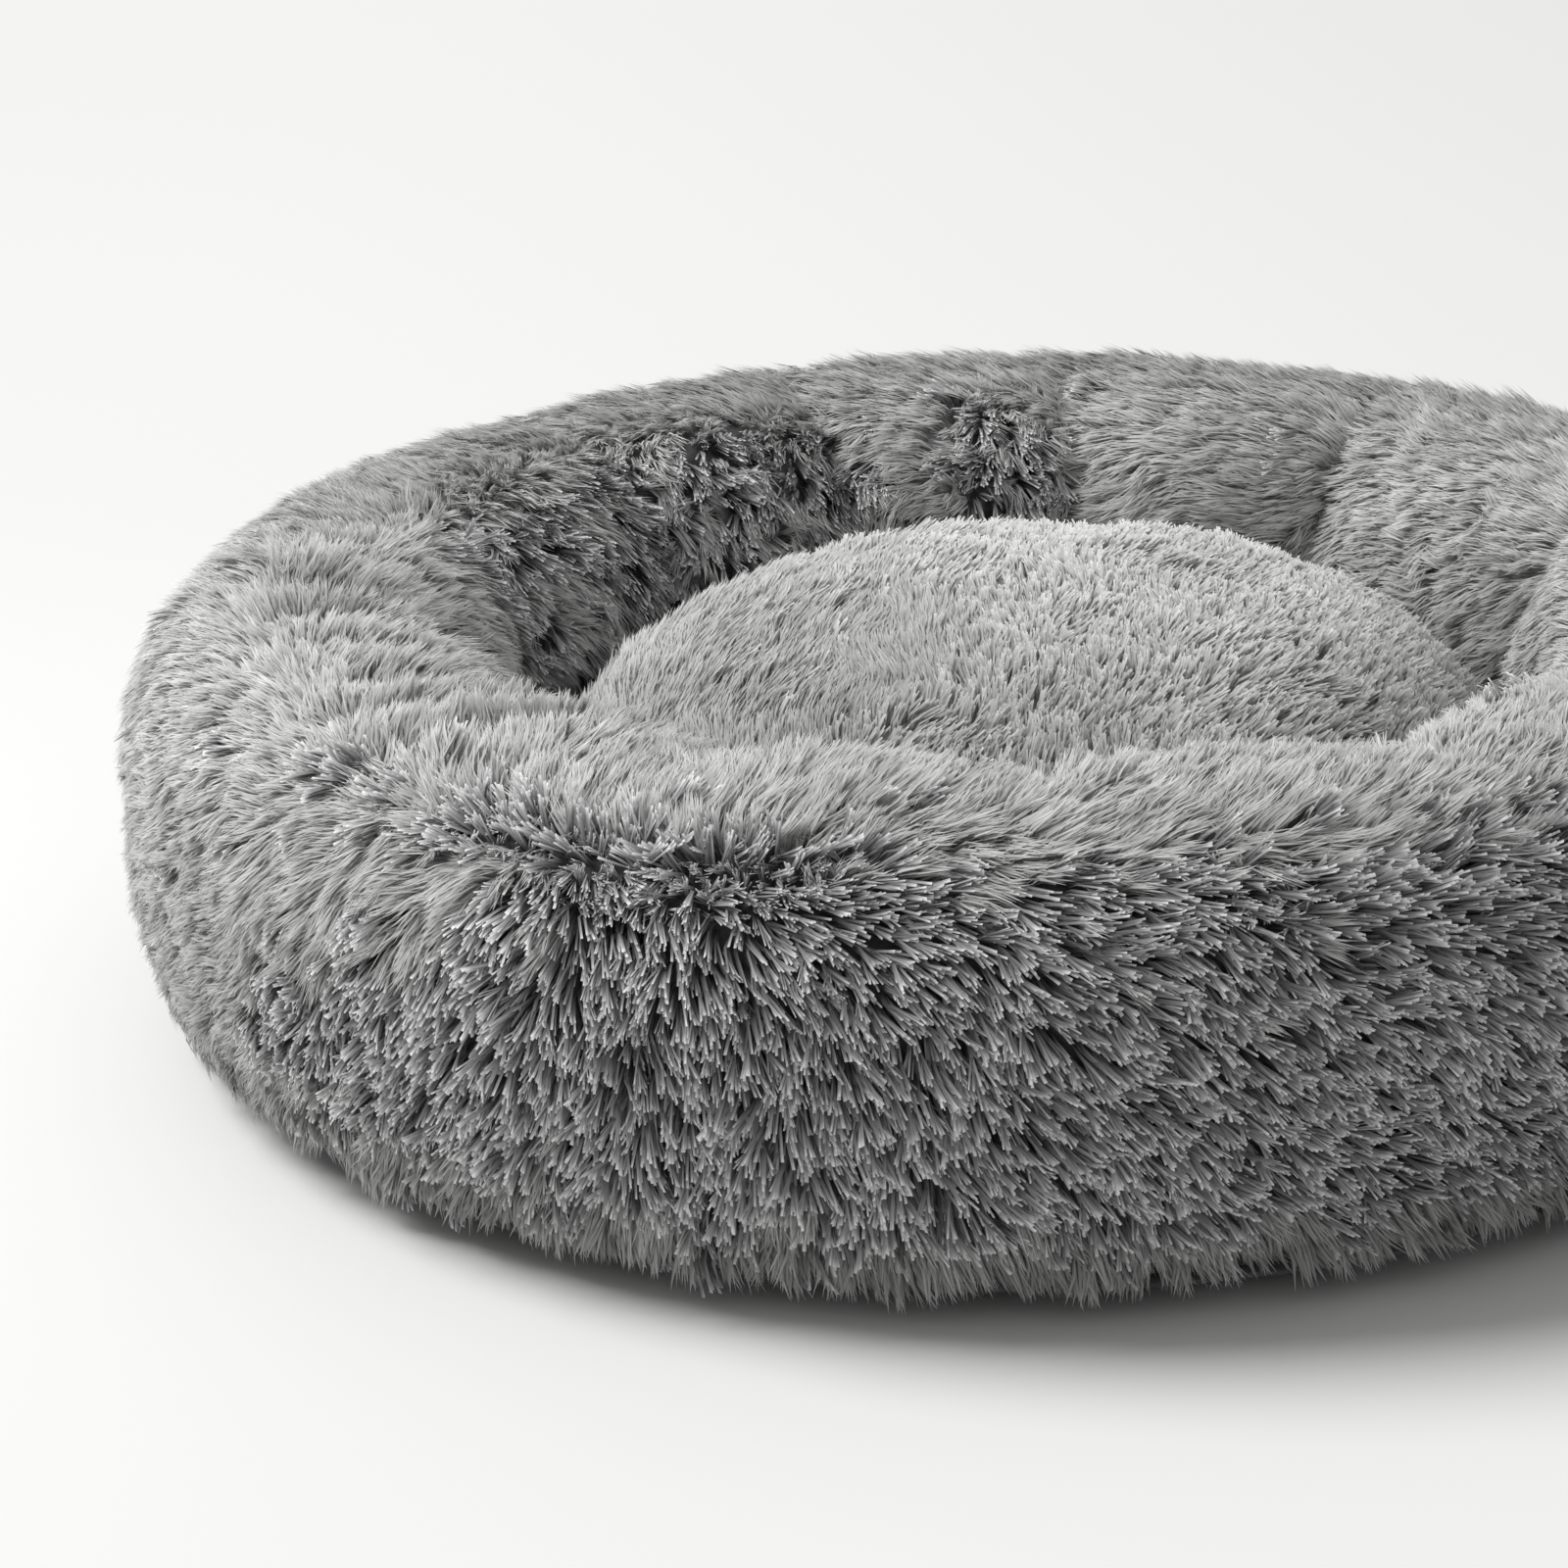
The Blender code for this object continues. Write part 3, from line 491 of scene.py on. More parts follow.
def makeTuft(name, settings, seed, collection):
    rules = tuftRules
    draw = random.Random(seed)
    shape = bmesh.new()
    mapLayer = shape.loops.layers.uv.new("OFBake")
    tipLayer = shape.verts.layers.float.new("tip")
    count = settings["strands"]
    clumps = [(draw.uniform(-1, 1), draw.uniform(-1, 1)) for _ in range(rules["clumps"])]
    bend = draw.uniform(-settings["bend"], settings["bend"])
    for index in range(count):
        spread = settings["rootSpread"] * math.sqrt((index + draw.random()) / count)
        turn = draw.uniform(0, 2 * math.pi)
        root = Vector((math.cos(turn), math.sin(turn), 0)) * spread
        reach, veer = clumps[index % rules["clumps"]]
        length = settings["length"] * draw.uniform(*rules["lengths"])
        lean = settings["lean"] + draw.uniform(-rules["leanSpread"], rules["leanSpread"])
        sway = bend + draw.uniform(-rules["swaySpread"], rules["swaySpread"]) + veer * rules["clumpSway"]
        width = settings["width"] * draw.uniform(*rules["widths"])
        roll = draw.uniform(-settings["roll"], settings["roll"])
        rise = length * math.sqrt(max(1 - lean * lean, rules["flattest"]))
        rows = []
        for s, share in settings["profile"]:
            x = lean * length * s ** rules["curve"]
            y = sway * length * s * s + reach * rules["clumpReach"] * s
            z = rise * math.sin(math.pi / 2 * min(s * rules["rise"], 1)) - rules["rootDepth"]
            middle = root * (1 - settings["tipGather"] * s) + Vector((x, y, z))
            unrolled = math.sin(roll) * (1 - rules["rollLoss"] * s)
            side = Vector((-rules["sideTurn"] * sway, math.cos(roll), unrolled))
            half = side.normalized() * width * share / 2
            places = (middle - half, middle + half) if share else (middle,)
            row = [shape.verts.new(place) for place in places]
            for vertex in row:
                vertex[tipLayer] = s
            ends = (0, 1) if share else (0.5,)
            rows.append([(vertex, ((index + u) / count, s)) for vertex, u in zip(row, ends)])
        for low, high in zip(rows, rows[1:]):
            corners = low[:1] + high + low[1:]
            face = shape.faces.new([vertex for vertex, _ in corners])
            face.smooth = True
            for loop, (_, at) in zip(face.loops, corners):
                loop[mapLayer].uv = at
    shape.normal_update()
    mesh = bpy.data.meshes.new(name)
    shape.to_mesh(mesh)
    shape.free()
    collection.objects.link(bpy.data.objects.new(name, mesh))


def makeTufts(name, settings):
    # the clumped tufts come first, then the fine ones
    collection = bpy.data.collections.new(name)
    for part, style in enumerate(("clumped", "fine")):
        for index in range(settings["variants"]):
            number = part * settings["variants"] + index
            makeTuft(f"{name}{number}", settings[style], settings["seed"] + number, collection)
    return collection


# Geometry Nodes: tufts over a skin, turned along its comb direction

atlas = {"cells": 8, "styleRows": 4, "inset": 0.02}  # every tuft's map fills one of 8 by 8 cells

pileRules = {
    "fineFrom": 0.5,  # fine style on the skin above which a tuft is a fine one
    "bareFrom": 0.2,  # tangle above which short curls fill up what a parting would leave bare
    # how restless a tuft is about the comb direction, beside 1 for a clumped one
    "unrest": {"isFine": -0.45, "tangle": 3.0, "isCurl": 9.0},
    "curlStand": 0.2, "curlShorter": 0.42,
    "tones": (2.5, 5.5), "toneShift": 2.5, "rowSeed": 77,
    # the trimmed fringe near the floor sways less than the rest
    "calmHeights": (10 * mm, 50 * mm), "calmShare": 0.25,
}


def pileTree(name):
    rules = pileRules
    tree, given = newTree(name, {
        "Geometry": ("Geometry",), "Collection": ("Tufts",),
        "Float": ("Clump Spacing", "Fine Spacing", "Curl Spacing", "Density", "Turn Spread", "Tilt Spread",
                  "Size Spread", "Sway", "Sway Scale", "Own Normal", "Settle Height"),
        "Int": ("Seed", "Variants"), "Material": ("Material",)})
    held = {}  # what the skin, the tufts and the points carry, read back by name
    for kind, labels in (
            ("FLOAT", ("fine", "crowd", "tangle", "stand", "pile", "pale", "isFine", "isCurl", "tip")),
            ("FLOAT_VECTOR", ("flow", "outward", "OFBake", "cell"))):
        for label in labels:
            held[label] = addNode(tree, "GeometryNodeInputNamedAttribute", {"Name": label},
                                  data_type=kind)
    offTurn, offTilt = (addNode(tree, "ShaderNodeMath", {0: given[label], 1: -1.0},
                                operation="MULTIPLY")
                        for label in ("Turn Spread", "Tilt Spread"))
    smallest, largest = (addNode(tree, "ShaderNodeMath", {0: 1.0, 1: given["Size Spread"]},
                                 operation=operation)
                         for operation in ("SUBTRACT", "ADD"))
    chance = {}  # one random number for each tuft and use, with a seed of its own
    for label, offset, low, high in (
            ("turn", 1, offTurn, given["Turn Spread"]), ("tilt", 2, offTilt, given["Tilt Spread"]),
            ("size", 3, smallest, largest), ("variant", 5, 0.0, 0.999), ("tone", 6, *rules["tones"])):
        seed = addNode(tree, "FunctionNodeIntegerMath", {0: given["Seed"], 1: offset}, operation="ADD")
        chance[label] = addNode(tree, "FunctionNodeRandomValue", {"Seed": seed, 2: low, 3: high},
                                data_type="FLOAT").outputs[1]

    # clumped tufts, fine tufts and curls each keep their own distance, on their own part of the skin
    isFineSkin, isClumpedSkin = (
        addNode(tree, "FunctionNodeCompare", {0: held["fine"], 1: rules["fineFrom"]}, data_type="FLOAT",
                operation=operation) for operation in ("GREATER_THAN", "LESS_EQUAL"))
    isBare = addNode(tree, "FunctionNodeCompare", {0: held["tangle"], 1: rules["bareFrom"]},
                     data_type="FLOAT", operation="GREATER_THAN")
    joined = addNode(tree, "GeometryNodeJoinGeometry")
    for chosen, spacing, crowd, marks in (
            (isClumpedSkin, "Clump Spacing", held["crowd"], {"isFine": 0.0}),
            (isFineSkin, "Fine Spacing", held["crowd"], {"isFine": 1.0}),
            (isBare, "Curl Spacing", 1.0, {"isFine": isFineSkin, "isCurl": 1.0})):
        spots = addNode(tree, "GeometryNodeDistributePointsOnFaces", {
            "Mesh": given["Geometry"], "Selection": chosen, "Distance Min": given[spacing],
            "Density Max": given["Density"], "Density Factor": crowd, "Seed": given["Seed"]},
            distribute_method="POISSON")
        known = addNode(tree, "GeometryNodeStoreNamedAttribute", {
            "Geometry": spots.outputs["Points"], "Name": "outward", "Value": spots.outputs["Normal"]},
            data_type="FLOAT_VECTOR", domain="POINT")
        for label, value in marks.items():
            known = addNode(tree, "GeometryNodeStoreNamedAttribute", {
                "Geometry": known, "Name": label, "Value": value}, data_type="FLOAT", domain="POINT")
        tree.links.new(known.outputs[0], joined.inputs[0])

    restless = 1.0
    for label, share in rules["unrest"].items():
        restless = addNode(tree, "ShaderNodeMath", {0: held[label], 1: share, 2: restless},
                           operation="MULTIPLY_ADD")
    upright = addNode(tree, "FunctionNodeAlignRotationToVector", {"Vector": held["outward"]}, axis="Z")
    along = addNode(tree, "FunctionNodeAlignRotationToVector", {"Rotation": upright, "Vector": held["flow"]},
                    axis="X", pivot_axis="Z")
    turn = addNode(tree, "ShaderNodeMath", {0: chance["turn"], 1: restless}, operation="MULTIPLY")
    spin = addNode(tree, "FunctionNodeAxisAngleToRotation", {"Axis": (0, 0, 1), "Angle": turn})
    lift = addNode(tree, "ShaderNodeMath", {0: held["isCurl"], 1: rules["curlStand"], 2: held["stand"]},
                   operation="MULTIPLY_ADD")
    tilt = addNode(tree, "ShaderNodeMath", {0: lift, 1: chance["tilt"]}, operation="ADD")
    back = addNode(tree, "ShaderNodeMath", {0: tilt, 1: -1.0}, operation="MULTIPLY")
    raised = addNode(tree, "FunctionNodeAxisAngleToRotation", {"Axis": (0, 1, 0), "Angle": back})
    turned = addNode(tree, "FunctionNodeRotateRotation", {"Rotation": along, "Rotate By": spin},
                     rotation_space="LOCAL")
    leaning = addNode(tree, "FunctionNodeRotateRotation", {"Rotation": turned, "Rotate By": raised},
                      rotation_space="LOCAL")
    number = addNode(tree, "ShaderNodeMath", {0: chance["variant"], 1: given["Variants"]},
                     operation="MULTIPLY")
    number = addNode(tree, "ShaderNodeMath", {0: number}, operation="FLOOR")
    number = addNode(tree, "ShaderNodeMath", {0: held["isFine"], 1: given["Variants"], 2: number},
                     operation="MULTIPLY_ADD")
    size = addNode(tree, "ShaderNodeMath", {0: chance["size"], 1: held["pile"]}, operation="MULTIPLY")
    shorter = addNode(tree, "ShaderNodeMath", {0: held["isCurl"], 1: -rules["curlShorter"], 2: 1.0},
                      operation="MULTIPLY_ADD")
    size = addNode(tree, "ShaderNodeMath", {0: size, 1: shorter}, operation="MULTIPLY")
    choices = addNode(tree, "GeometryNodeCollectionInfo", {
        "Collection": given["Tufts"], "Separate Children": True, "Reset Children": True})
    placed = addNode(tree, "GeometryNodeInstanceOnPoints", {
        "Points": joined, "Instance": choices, "Pick Instance": True, "Instance Index": number,
        "Rotation": leaning, "Scale": size})

    # each tuft takes one cell of the map, so that its tone is in the map too:
    # columns go from dark to pale, and fine tufts take the upper half
    # the pale attribute shifts the column: it carries painted light and painted shade from the skin, besides a
    # random tone
    column = addNode(tree, "ShaderNodeMath", {0: held["pale"], 1: rules["toneShift"], 2: chance["tone"]},
                     operation="MULTIPLY_ADD")
    column = addNode(tree, "ShaderNodeMath", {0: column}, operation="FLOOR")
    column = addNode(tree, "ShaderNodeClamp", {"Value": column, "Min": 0.0, "Max": atlas["cells"] - 1.0})
    row = addNode(tree, "FunctionNodeRandomValue", {"Seed": rules["rowSeed"], 5: atlas["styleRows"] - 1},
                  data_type="INT")
    row = addNode(tree, "ShaderNodeMath", {0: held["isFine"], 1: float(atlas["styleRows"]), 2: row.outputs[2]},
                  operation="MULTIPLY_ADD")
    cell = addNode(tree, "ShaderNodeCombineXYZ", {"X": column, "Y": row})
    marked = addNode(tree, "GeometryNodeStoreNamedAttribute", {
        "Geometry": placed, "Name": "cell", "Value": cell}, data_type="FLOAT_VECTOR", domain="INSTANCE")
    real = addNode(tree, "GeometryNodeRealizeInstances", {"Geometry": marked})
    edge = atlas["inset"]
    inset = addNode(tree, "ShaderNodeVectorMath", {
        0: held["OFBake"], 1: (1 - 2 * edge, 1 - 2 * edge, 0), 2: (edge, edge, 0)}, operation="MULTIPLY_ADD")
    moved = addNode(tree, "ShaderNodeVectorMath", {0: inset, 1: held["cell"]}, operation="ADD")
    small = addNode(tree, "ShaderNodeVectorMath", {0: moved, "Scale": 1 / atlas["cells"]},
                    operation="SCALE")
    mapped = addNode(tree, "GeometryNodeStoreNamedAttribute", {
        "Geometry": real, "Name": "OFBake", "Value": small}, data_type="FLOAT2", domain="CORNER")

    # neighbouring strands sway together towards their tips
    where = addNode(tree, "GeometryNodeInputPosition")
    place = addNode(tree, "ShaderNodeSeparateXYZ", {0: where}).outputs
    waver = addNode(tree, "ShaderNodeTexNoise", {"Vector": where, "Scale": given["Sway Scale"], "Detail": 2.0},
                    noise_dimensions="3D")
    centred = addNode(tree, "ShaderNodeVectorMath", {0: waver.outputs["Color"], 1: (0.5, 0.5, 0.5)},
                      operation="SUBTRACT")
    freely = addNode(tree, "ShaderNodeMapRange", {
        "Value": place["Z"], "From Min": rules["calmHeights"][0], "From Max": rules["calmHeights"][1],
        "To Min": rules["calmShare"], "To Max": 1.0})
    reach = addNode(tree, "ShaderNodeMath", {0: held["tip"], 1: given["Sway"]}, operation="MULTIPLY")
    amount = addNode(tree, "ShaderNodeMath", {0: reach, 1: freely}, operation="MULTIPLY")
    push = addNode(tree, "ShaderNodeVectorMath", {0: centred, "Scale": amount}, operation="SCALE")
    swayed = addNode(tree, "GeometryNodeSetPosition", {"Geometry": mapped, "Offset": push})
    # what would reach the floor is turned aside and lies on it
    settle = given["Settle Height"]
    below, above = (addNode(tree, "ShaderNodeMath", {0: place["Z"], 1: settle}, operation=operation)
                    for operation in ("MINIMUM", "MAXIMUM"))
    below, above = (addNode(tree, "ShaderNodeMath", {0: part, 1: settle}, operation="SUBTRACT")
                    for part in (below, above))
    pressed = addNode(tree, "ShaderNodeMath", {0: below, 1: settle}, operation="DIVIDE")
    pressed = addNode(tree, "ShaderNodeMath", {0: pressed}, operation="EXPONENT")
    height = addNode(tree, "ShaderNodeMath", {0: pressed, 1: settle, 2: above},
                     operation="MULTIPLY_ADD")
    settledAt = addNode(tree, "ShaderNodeCombineXYZ", {"X": place["X"], "Y": place["Y"], "Z": height})
    settled = addNode(tree, "GeometryNodeSetPosition", {"Geometry": swayed, "Position": settledAt})
    # a lock scatters light as a bundle of fibres does, so its normals lie near the skin's own
    ownPart = addNode(tree, "ShaderNodeVectorMath", {
        0: addNode(tree, "GeometryNodeInputNormal"), "Scale": given["Own Normal"]}, operation="SCALE")
    blended = addNode(tree, "ShaderNodeVectorMath", {0: ownPart, 1: held["outward"]}, operation="ADD")
    shaded = addNode(tree, "GeometryNodeSetMeshNormal", {"Mesh": settled, "Custom Normal": blended},
                     mode="FREE", domain="POINT")
    return closeTree(tree, shaded, given["Material"])


# Plush and underfur

plushLook = {
    # where the four tones of a style stand along a strand, from root to tip: the dark root tones are painted
    # shade and the pale tip tones painted light
    "toneStops": (0.04, 0.5, 0.85, 1.0),
    # spans of a value and the tones they give: for each tuft, whose column holds its random tone with the
    # painted light and shade of the skin, for each strand, for the fine fibres along a lock, and for its
    # sides, painted darker as shade where a round lock turns away from the light
    "tuft": ((0.0, atlas["cells"] - 1.0), (0.72, 1.22)), "strand": ((0.0, 1.0), (0.78, 1.2)),
    "fibre": ((0.35, 0.65), (0.66, 1.22)), "side": ((0.25, 0.5), (1.0, 0.72)),
    "fibreStretch": (3.2, 1.0, 1.0), "strandSteps": (31, 17, 5),
}


def plushMaterial(name, clumped, fine):
    # acrylic shag: matt fibres; painted shade darkens the root, where no light gets in, and painted light
    # pales the cut tips
    look = plushLook
    material, tree, shader = newMaterial(name, Roughness=0.62, Specular_IOR_Level=0.35, Sheen_Weight=0.25,
                                         Sheen_Roughness=0.5)
    cells = float(atlas["cells"])
    strandMap = addNode(tree, "ShaderNodeUVMap", uv_map="OFBake")
    scaled = addNode(tree, "ShaderNodeVectorMath", {0: strandMap, 1: (cells, cells, 1.0)},
                     operation="MULTIPLY")
    cell, cellPlace = (addNode(tree, "ShaderNodeVectorMath", {0: scaled}, operation=operation)
                       for operation in ("FLOOR", "FRACTION"))
    along = addNode(tree, "ShaderNodeSeparateXYZ", {0: cellPlace}).outputs
    cellParts = addNode(tree, "ShaderNodeSeparateXYZ", {0: cell}).outputs
    isFine = addNode(tree, "ShaderNodeMath", {0: cellParts["Y"], 1: atlas["styleRows"] - 0.5},
                     operation="GREATER_THAN")
    styled = {}
    for key in ("strands", "contrast", "through"):
        styled[key] = addNode(tree, "ShaderNodeMix", {0: isFine, 2: clumped[key], 3: fine[key]},
                              data_type="FLOAT")
    # root to tip ramps: painted shade at the roots, painted light at the tips
    ramps = []
    for tones in (clumped["tones"], fine["tones"]):
        ramp = addNode(tree, "ShaderNodeValToRGB", {"Fac": along["Y"]})
        stops = ramp.color_ramp.elements
        stops[0].position, stops[1].position = look["toneStops"][0], look["toneStops"][-1]
        for place in look["toneStops"][1:-1]:
            stops.new(place)
        for stop, toneHere in zip(stops, tones):
            stop.color = srgb(toneHere)
        ramps.append(ramp)
    colour = addNode(tree, "ShaderNodeMix", {0: isFine, 6: ramps[0], 7: ramps[1]}, data_type="RGBA")
    strandAt = addNode(tree, "ShaderNodeMath", {0: along["X"], 1: styled["strands"]},
                       operation="MULTIPLY")
    strandKey = addNode(tree, "ShaderNodeMath", {0: strandAt}, operation="FLOOR")
    strandKey = addNode(tree, "ShaderNodeCombineXYZ", {"X": strandKey})
    strandKey = addNode(tree, "ShaderNodeVectorMath", {0: cell, 1: look["strandSteps"], 2: strandKey},
                        operation="MULTIPLY_ADD")
    strandTone = addNode(tree, "ShaderNodeTexWhiteNoise", {"Vector": strandKey}, noise_dimensions="3D")
    fibreAt = addNode(tree, "ShaderNodeCombineXYZ", {"X": strandAt, "Y": along["Y"]})
    fibreAt = addNode(tree, "ShaderNodeVectorMath", {0: fibreAt, 1: look["fibreStretch"], 2: cell},
                      operation="MULTIPLY_ADD")
    fibre = addNode(tree, "ShaderNodeTexNoise", {"Vector": fibreAt, "Scale": 1.0, "Detail": 1.0})
    within = addNode(tree, "ShaderNodeMath", {0: strandAt}, operation="FRACT")
    # painted shade on the sides of each strand, darker away from its middle
    offMiddle = addNode(tree, "ShaderNodeMath", {0: within, 1: 0.5}, operation="SUBTRACT")
    offMiddle = addNode(tree, "ShaderNodeMath", {0: offMiddle}, operation="ABSOLUTE")
    tones = {}
    for key, value in (("side", offMiddle), ("fibre", fibre), ("strand", strandTone),
                       ("tuft", cellParts["X"])):
        span, levels = look[key]
        tones[key] = addNode(tree, "ShaderNodeMapRange", {
            "Value": value, "From Min": span[0], "From Max": span[1],
            "To Min": levels[0], "To Max": levels[1]})
    lock = tones["side"]
    for key in ("fibre", "strand"):
        lock = addNode(tree, "ShaderNodeMath", {0: lock, 1: tones[key]}, operation="MULTIPLY")
    spread = addNode(tree, "ShaderNodeMix", {0: styled["contrast"], 2: 1.0, 3: lock}, data_type="FLOAT")
    level = addNode(tree, "ShaderNodeMath", {0: spread, 1: tones["tuft"]}, operation="MULTIPLY")
    toned = addNode(tree, "ShaderNodeVectorMath", {0: colour.outputs[2], "Scale": level},
                    operation="SCALE")
    tree.links.new(toned.outputs[0], shader.inputs["Base Color"])
    # thin fibre bundles pass on part of the light
    through = addNode(tree, "ShaderNodeBsdfTranslucent", {"Color": toned})
    both = addNode(tree, "ShaderNodeMixShader", {0: styled["through"], 1: shader, 2: through})
    tree.links.new(both.outputs[0], tree.nodes["Material Output"].inputs["Surface"])
    return material


def underfurMaterial(name, clumped, fine):
    # underfur seen between the tufts, painted dark as the shade in the gaps: darkest under the clumped locks,
    # less so where the pile is brushed fine
    material, tree, shader = newMaterial(name, Roughness=0.95)
    place = addNode(tree, "ShaderNodeTexCoord").outputs["Object"]
    grain = addNode(tree, "ShaderNodeTexNoise", {"Vector": place, "Scale": 400.0, "Detail": 3.0})
    pair = [addNode(tree, "ShaderNodeMix", {0: grain, 6: srgb(dark), 7: srgb(pale)}, data_type="RGBA")
            for dark, pale in (clumped, fine)]
    style = addNode(tree, "ShaderNodeAttribute", attribute_name="fine").outputs["Fac"]
    share = addNode(tree, "ShaderNodeMapRange", {"Value": style, "From Min": 0.35, "From Max": 0.65})
    mix = addNode(tree, "ShaderNodeMix", {0: share, 6: pair[0].outputs[2], 7: pair[1].outputs[2]},
                  data_type="RGBA")
    tree.links.new(mix.outputs[2], shader.inputs["Base Color"])
    bump = addNode(tree, "ShaderNodeBump", {"Height": grain, "Strength": 0.6, "Distance": 1 * mm})
    tree.links.new(bump.outputs[0], shader.inputs["Normal"])
    return material


# the shag's near black roots are painted shade between the locks, and its near white tips are painted light
ringPlush = plushMaterial(  # long grey shag: black between its locks, near white at the brushed tips
    "shagPlush", {
        "tones": ("#060606", "#525252", "#979797", "#DFDFDF"), "strands": 10.0, "contrast": 1.0,
        "through": 0.24,
    }, {
        "tones": ("#686868", "#AFAFAE", "#CDCDCC", "#E2E2E1"), "strands": 18.0, "contrast": 0.7,
        "through": 0.42,
    })
# the short pile's darker roots are painted shade, and its paler tips are painted light
cushionPlush = plushMaterial(  # short pile: an even pale grey, softly mottled
    "shortPlush", {
        "tones": ("#7A7A7A", "#AEAEAD", "#C9C9C8", "#E0E0DF"), "strands": 10.0, "contrast": 0.4,
        "through": 0.4,
    }, {
        "tones": ("#7B7B7B", "#ABABAA", "#C4C4C3", "#DADAD9"), "strands": 12.0, "contrast": 0.3,
        "through": 0.42,
    })
# the ring's underfur is painted near black, as the shade deep between the locks
ringUnderfur = underfurMaterial("underfur", ("#303030", "#4E4E4E"), ("#646464", "#868686"))  # deep shade
cushionUnderfur = underfurMaterial(  # a paler ground that hardly shows
    "cushionUnderfur", ("#6C6C6B", "#8C8C8B"), ("#747473", "#949493"))


def growSectors(name, tree, points, fields, pile, material):
    # the pile of one skin, in a few objects round the bed
    tufts = makeTufts(name + "Tuft", pile)
    columns = points.shape[1]
    perSector = columns // pile["sectors"]
    pieces = []
    for sector in range(pile["sectors"]):
        picked = (np.arange(perSector + 1) + sector * perSector) % columns
        skin = linkObject("sector", gridMesh("sector", points[:, picked]))
        storeOnPoints(skin.data, {label: values[:, picked] for label, values in fields.items()})
        piece = grow(f"{name}_pile_{sector + 1}", tree, {
            **pile["growth"], "Tufts": tufts, "Seed": pile["growthSeed"] + sector,
            "Variants": pile["variants"], "Material": material}, skin)
        pieces.append(piece)
        print(piece.name, "triangles", sum(len(face.vertices) - 2 for face in piece.data.polygons))
    return pieces


# Ring bolster

ringPile = {
    # clumped locks with blunt ends low on the front, fine brushed ones on the crest and the left;
    # a profile is the width of a strand at shares of its length
    "clumped": {
        "strands": 10, "profile": ((0, 0), (0.5, 1.0), (1, 0.85)), "length": 21 * mm, "lean": 0.85,
        "width": 1.05 * mm, "rootSpread": 1.9 * mm, "tipGather": 0.5, "roll": 0.6, "bend": 0.2,
    },
    "fine": {
        "strands": 18, "profile": ((0, 0), (0.5, 1.0), (1, 0)), "length": 19.5 * mm, "lean": 0.83,
        "width": 1.0 * mm, "rootSpread": 3.2 * mm, "tipGather": 0.45, "roll": 0.6, "bend": 0.12,
    },
    "growth": {
        "Clump Spacing": 3.0 * mm, "Fine Spacing": 3.45 * mm, "Curl Spacing": 2.3 * mm, "Density": 200000.0,
        "Turn Spread": 0.22, "Tilt Spread": 0.2, "Size Spread": 0.14, "Sway": 8 * mm, "Sway Scale": 85.0,
        "Own Normal": 0.7, "Settle Height": 14 * mm,
    },
    "variants": 8, "seed": 100, "growthSeed": 40, "sectors": 8, "backing": 8 * mm, "cloth": 1.2 * mm,
}
nap = {
    # where the regions of the nap set in, in degrees: up the section, down from the widest part,
    # from the right both ways (-180 to 180), or from the right anticlockwise (0 to 360)
    "edges": {
        "leftEnd": ("bothWays", -150, -118), "leftTop": ("section", 40, 70),
        "leftBack": ("bothWays", 90, 150), "leftInside": ("section", 90, 120),
        "frontEnd": ("bothWays", 0, 40), "frontTop": ("section", 38, 70), "frontFoot": ("section", -30, -10),
        "frontRight": ("bothWays", -85, -45), "backFrom": ("anticlockwise", 20, 50),
        "backTo": ("anticlockwise", 120, 150), "backRise": ("section", 50, 75),
        "innerFrom": ("anticlockwise", 55, 85), "innerTo": ("anticlockwise", 200, 225),
        "innerRise": ("section", 85, 120), "inward": ("section", 95, 135), "innerSeam": ("section", 190, 205),
        "shadeEnd": ("bothWays", -135, -105), "shadeTop": ("section", 60, 110),
        "tangleFine": ("section", 60, 85), "tanglePaintedShade": ("section", 70, 90),
        "low": ("downwards", 10, 30), "lowPaintedShade": ("downwards", 12, 30), "fringe": ("downwards", 5, 20),
        "longFringe": ("downwards", 20, 33),
    },
    # the front starts further left towards the floor
    "frontStart": -155, "frontSlant": 0.6, "frontSlantTo": 50, "frontWidth": 25, "frontAtFoot": 0.15,
    # where the comb directions part, the pile is tangled: their strength, and how fast they spread in 1/m
    "weak": (0.15, 0.7), "parting": (30, 80), "matTangle": 0.18,
    "noises": {"pile": (31, 0.12), "stand": (32, 0.035), "fine": (33, 0.02), "pale": (34, 0.05),
               "mat": (35, 0.012)},
    "fineNoise": 0.3, "matNoise": 0.35, "matClumped": 0.55, "tangleClumped": 0.7,
    # what each region adds to how a tuft stands, how long it is, how crowded and how pale; the paleness is
    # mostly painted light and shade
    "adds": {
        "stand": {"everywhere": -0.06, "tangle": 0.3, "mat": 0.15, "inward": -0.18, "valley": 0.1,
                  "standNoise": 0.1, "low": -0.25, "left": -0.1, "backTop": -0.12},
        "pile": {"everywhere": 1.0, "gathered": -0.1, "pileNoise": 0.06, "fringe": 0.05, "longFringe": 0.35,
                 "left": -0.2, "tangle": -0.1},
        "crowd": {"everywhere": 1.0, "innerSeam": -0.5},
        # pale: painted light on the inner wall and its mats, and on the left outside where the window falls;
        # painted shade in the partings, on the fringe by the floor and at the front right; darker on the back;
        # the noise is the pile's own uneven tone
        "pale": {"inner": 0.72, "innerMat": 0.9, "back": -0.8, "shade": 0.5, "paleNoise": 0.25,
                 "tanglePaintedShade": -0.5, "lowPaintedShade": -1.4, "frontRight": -0.6},
    },
}


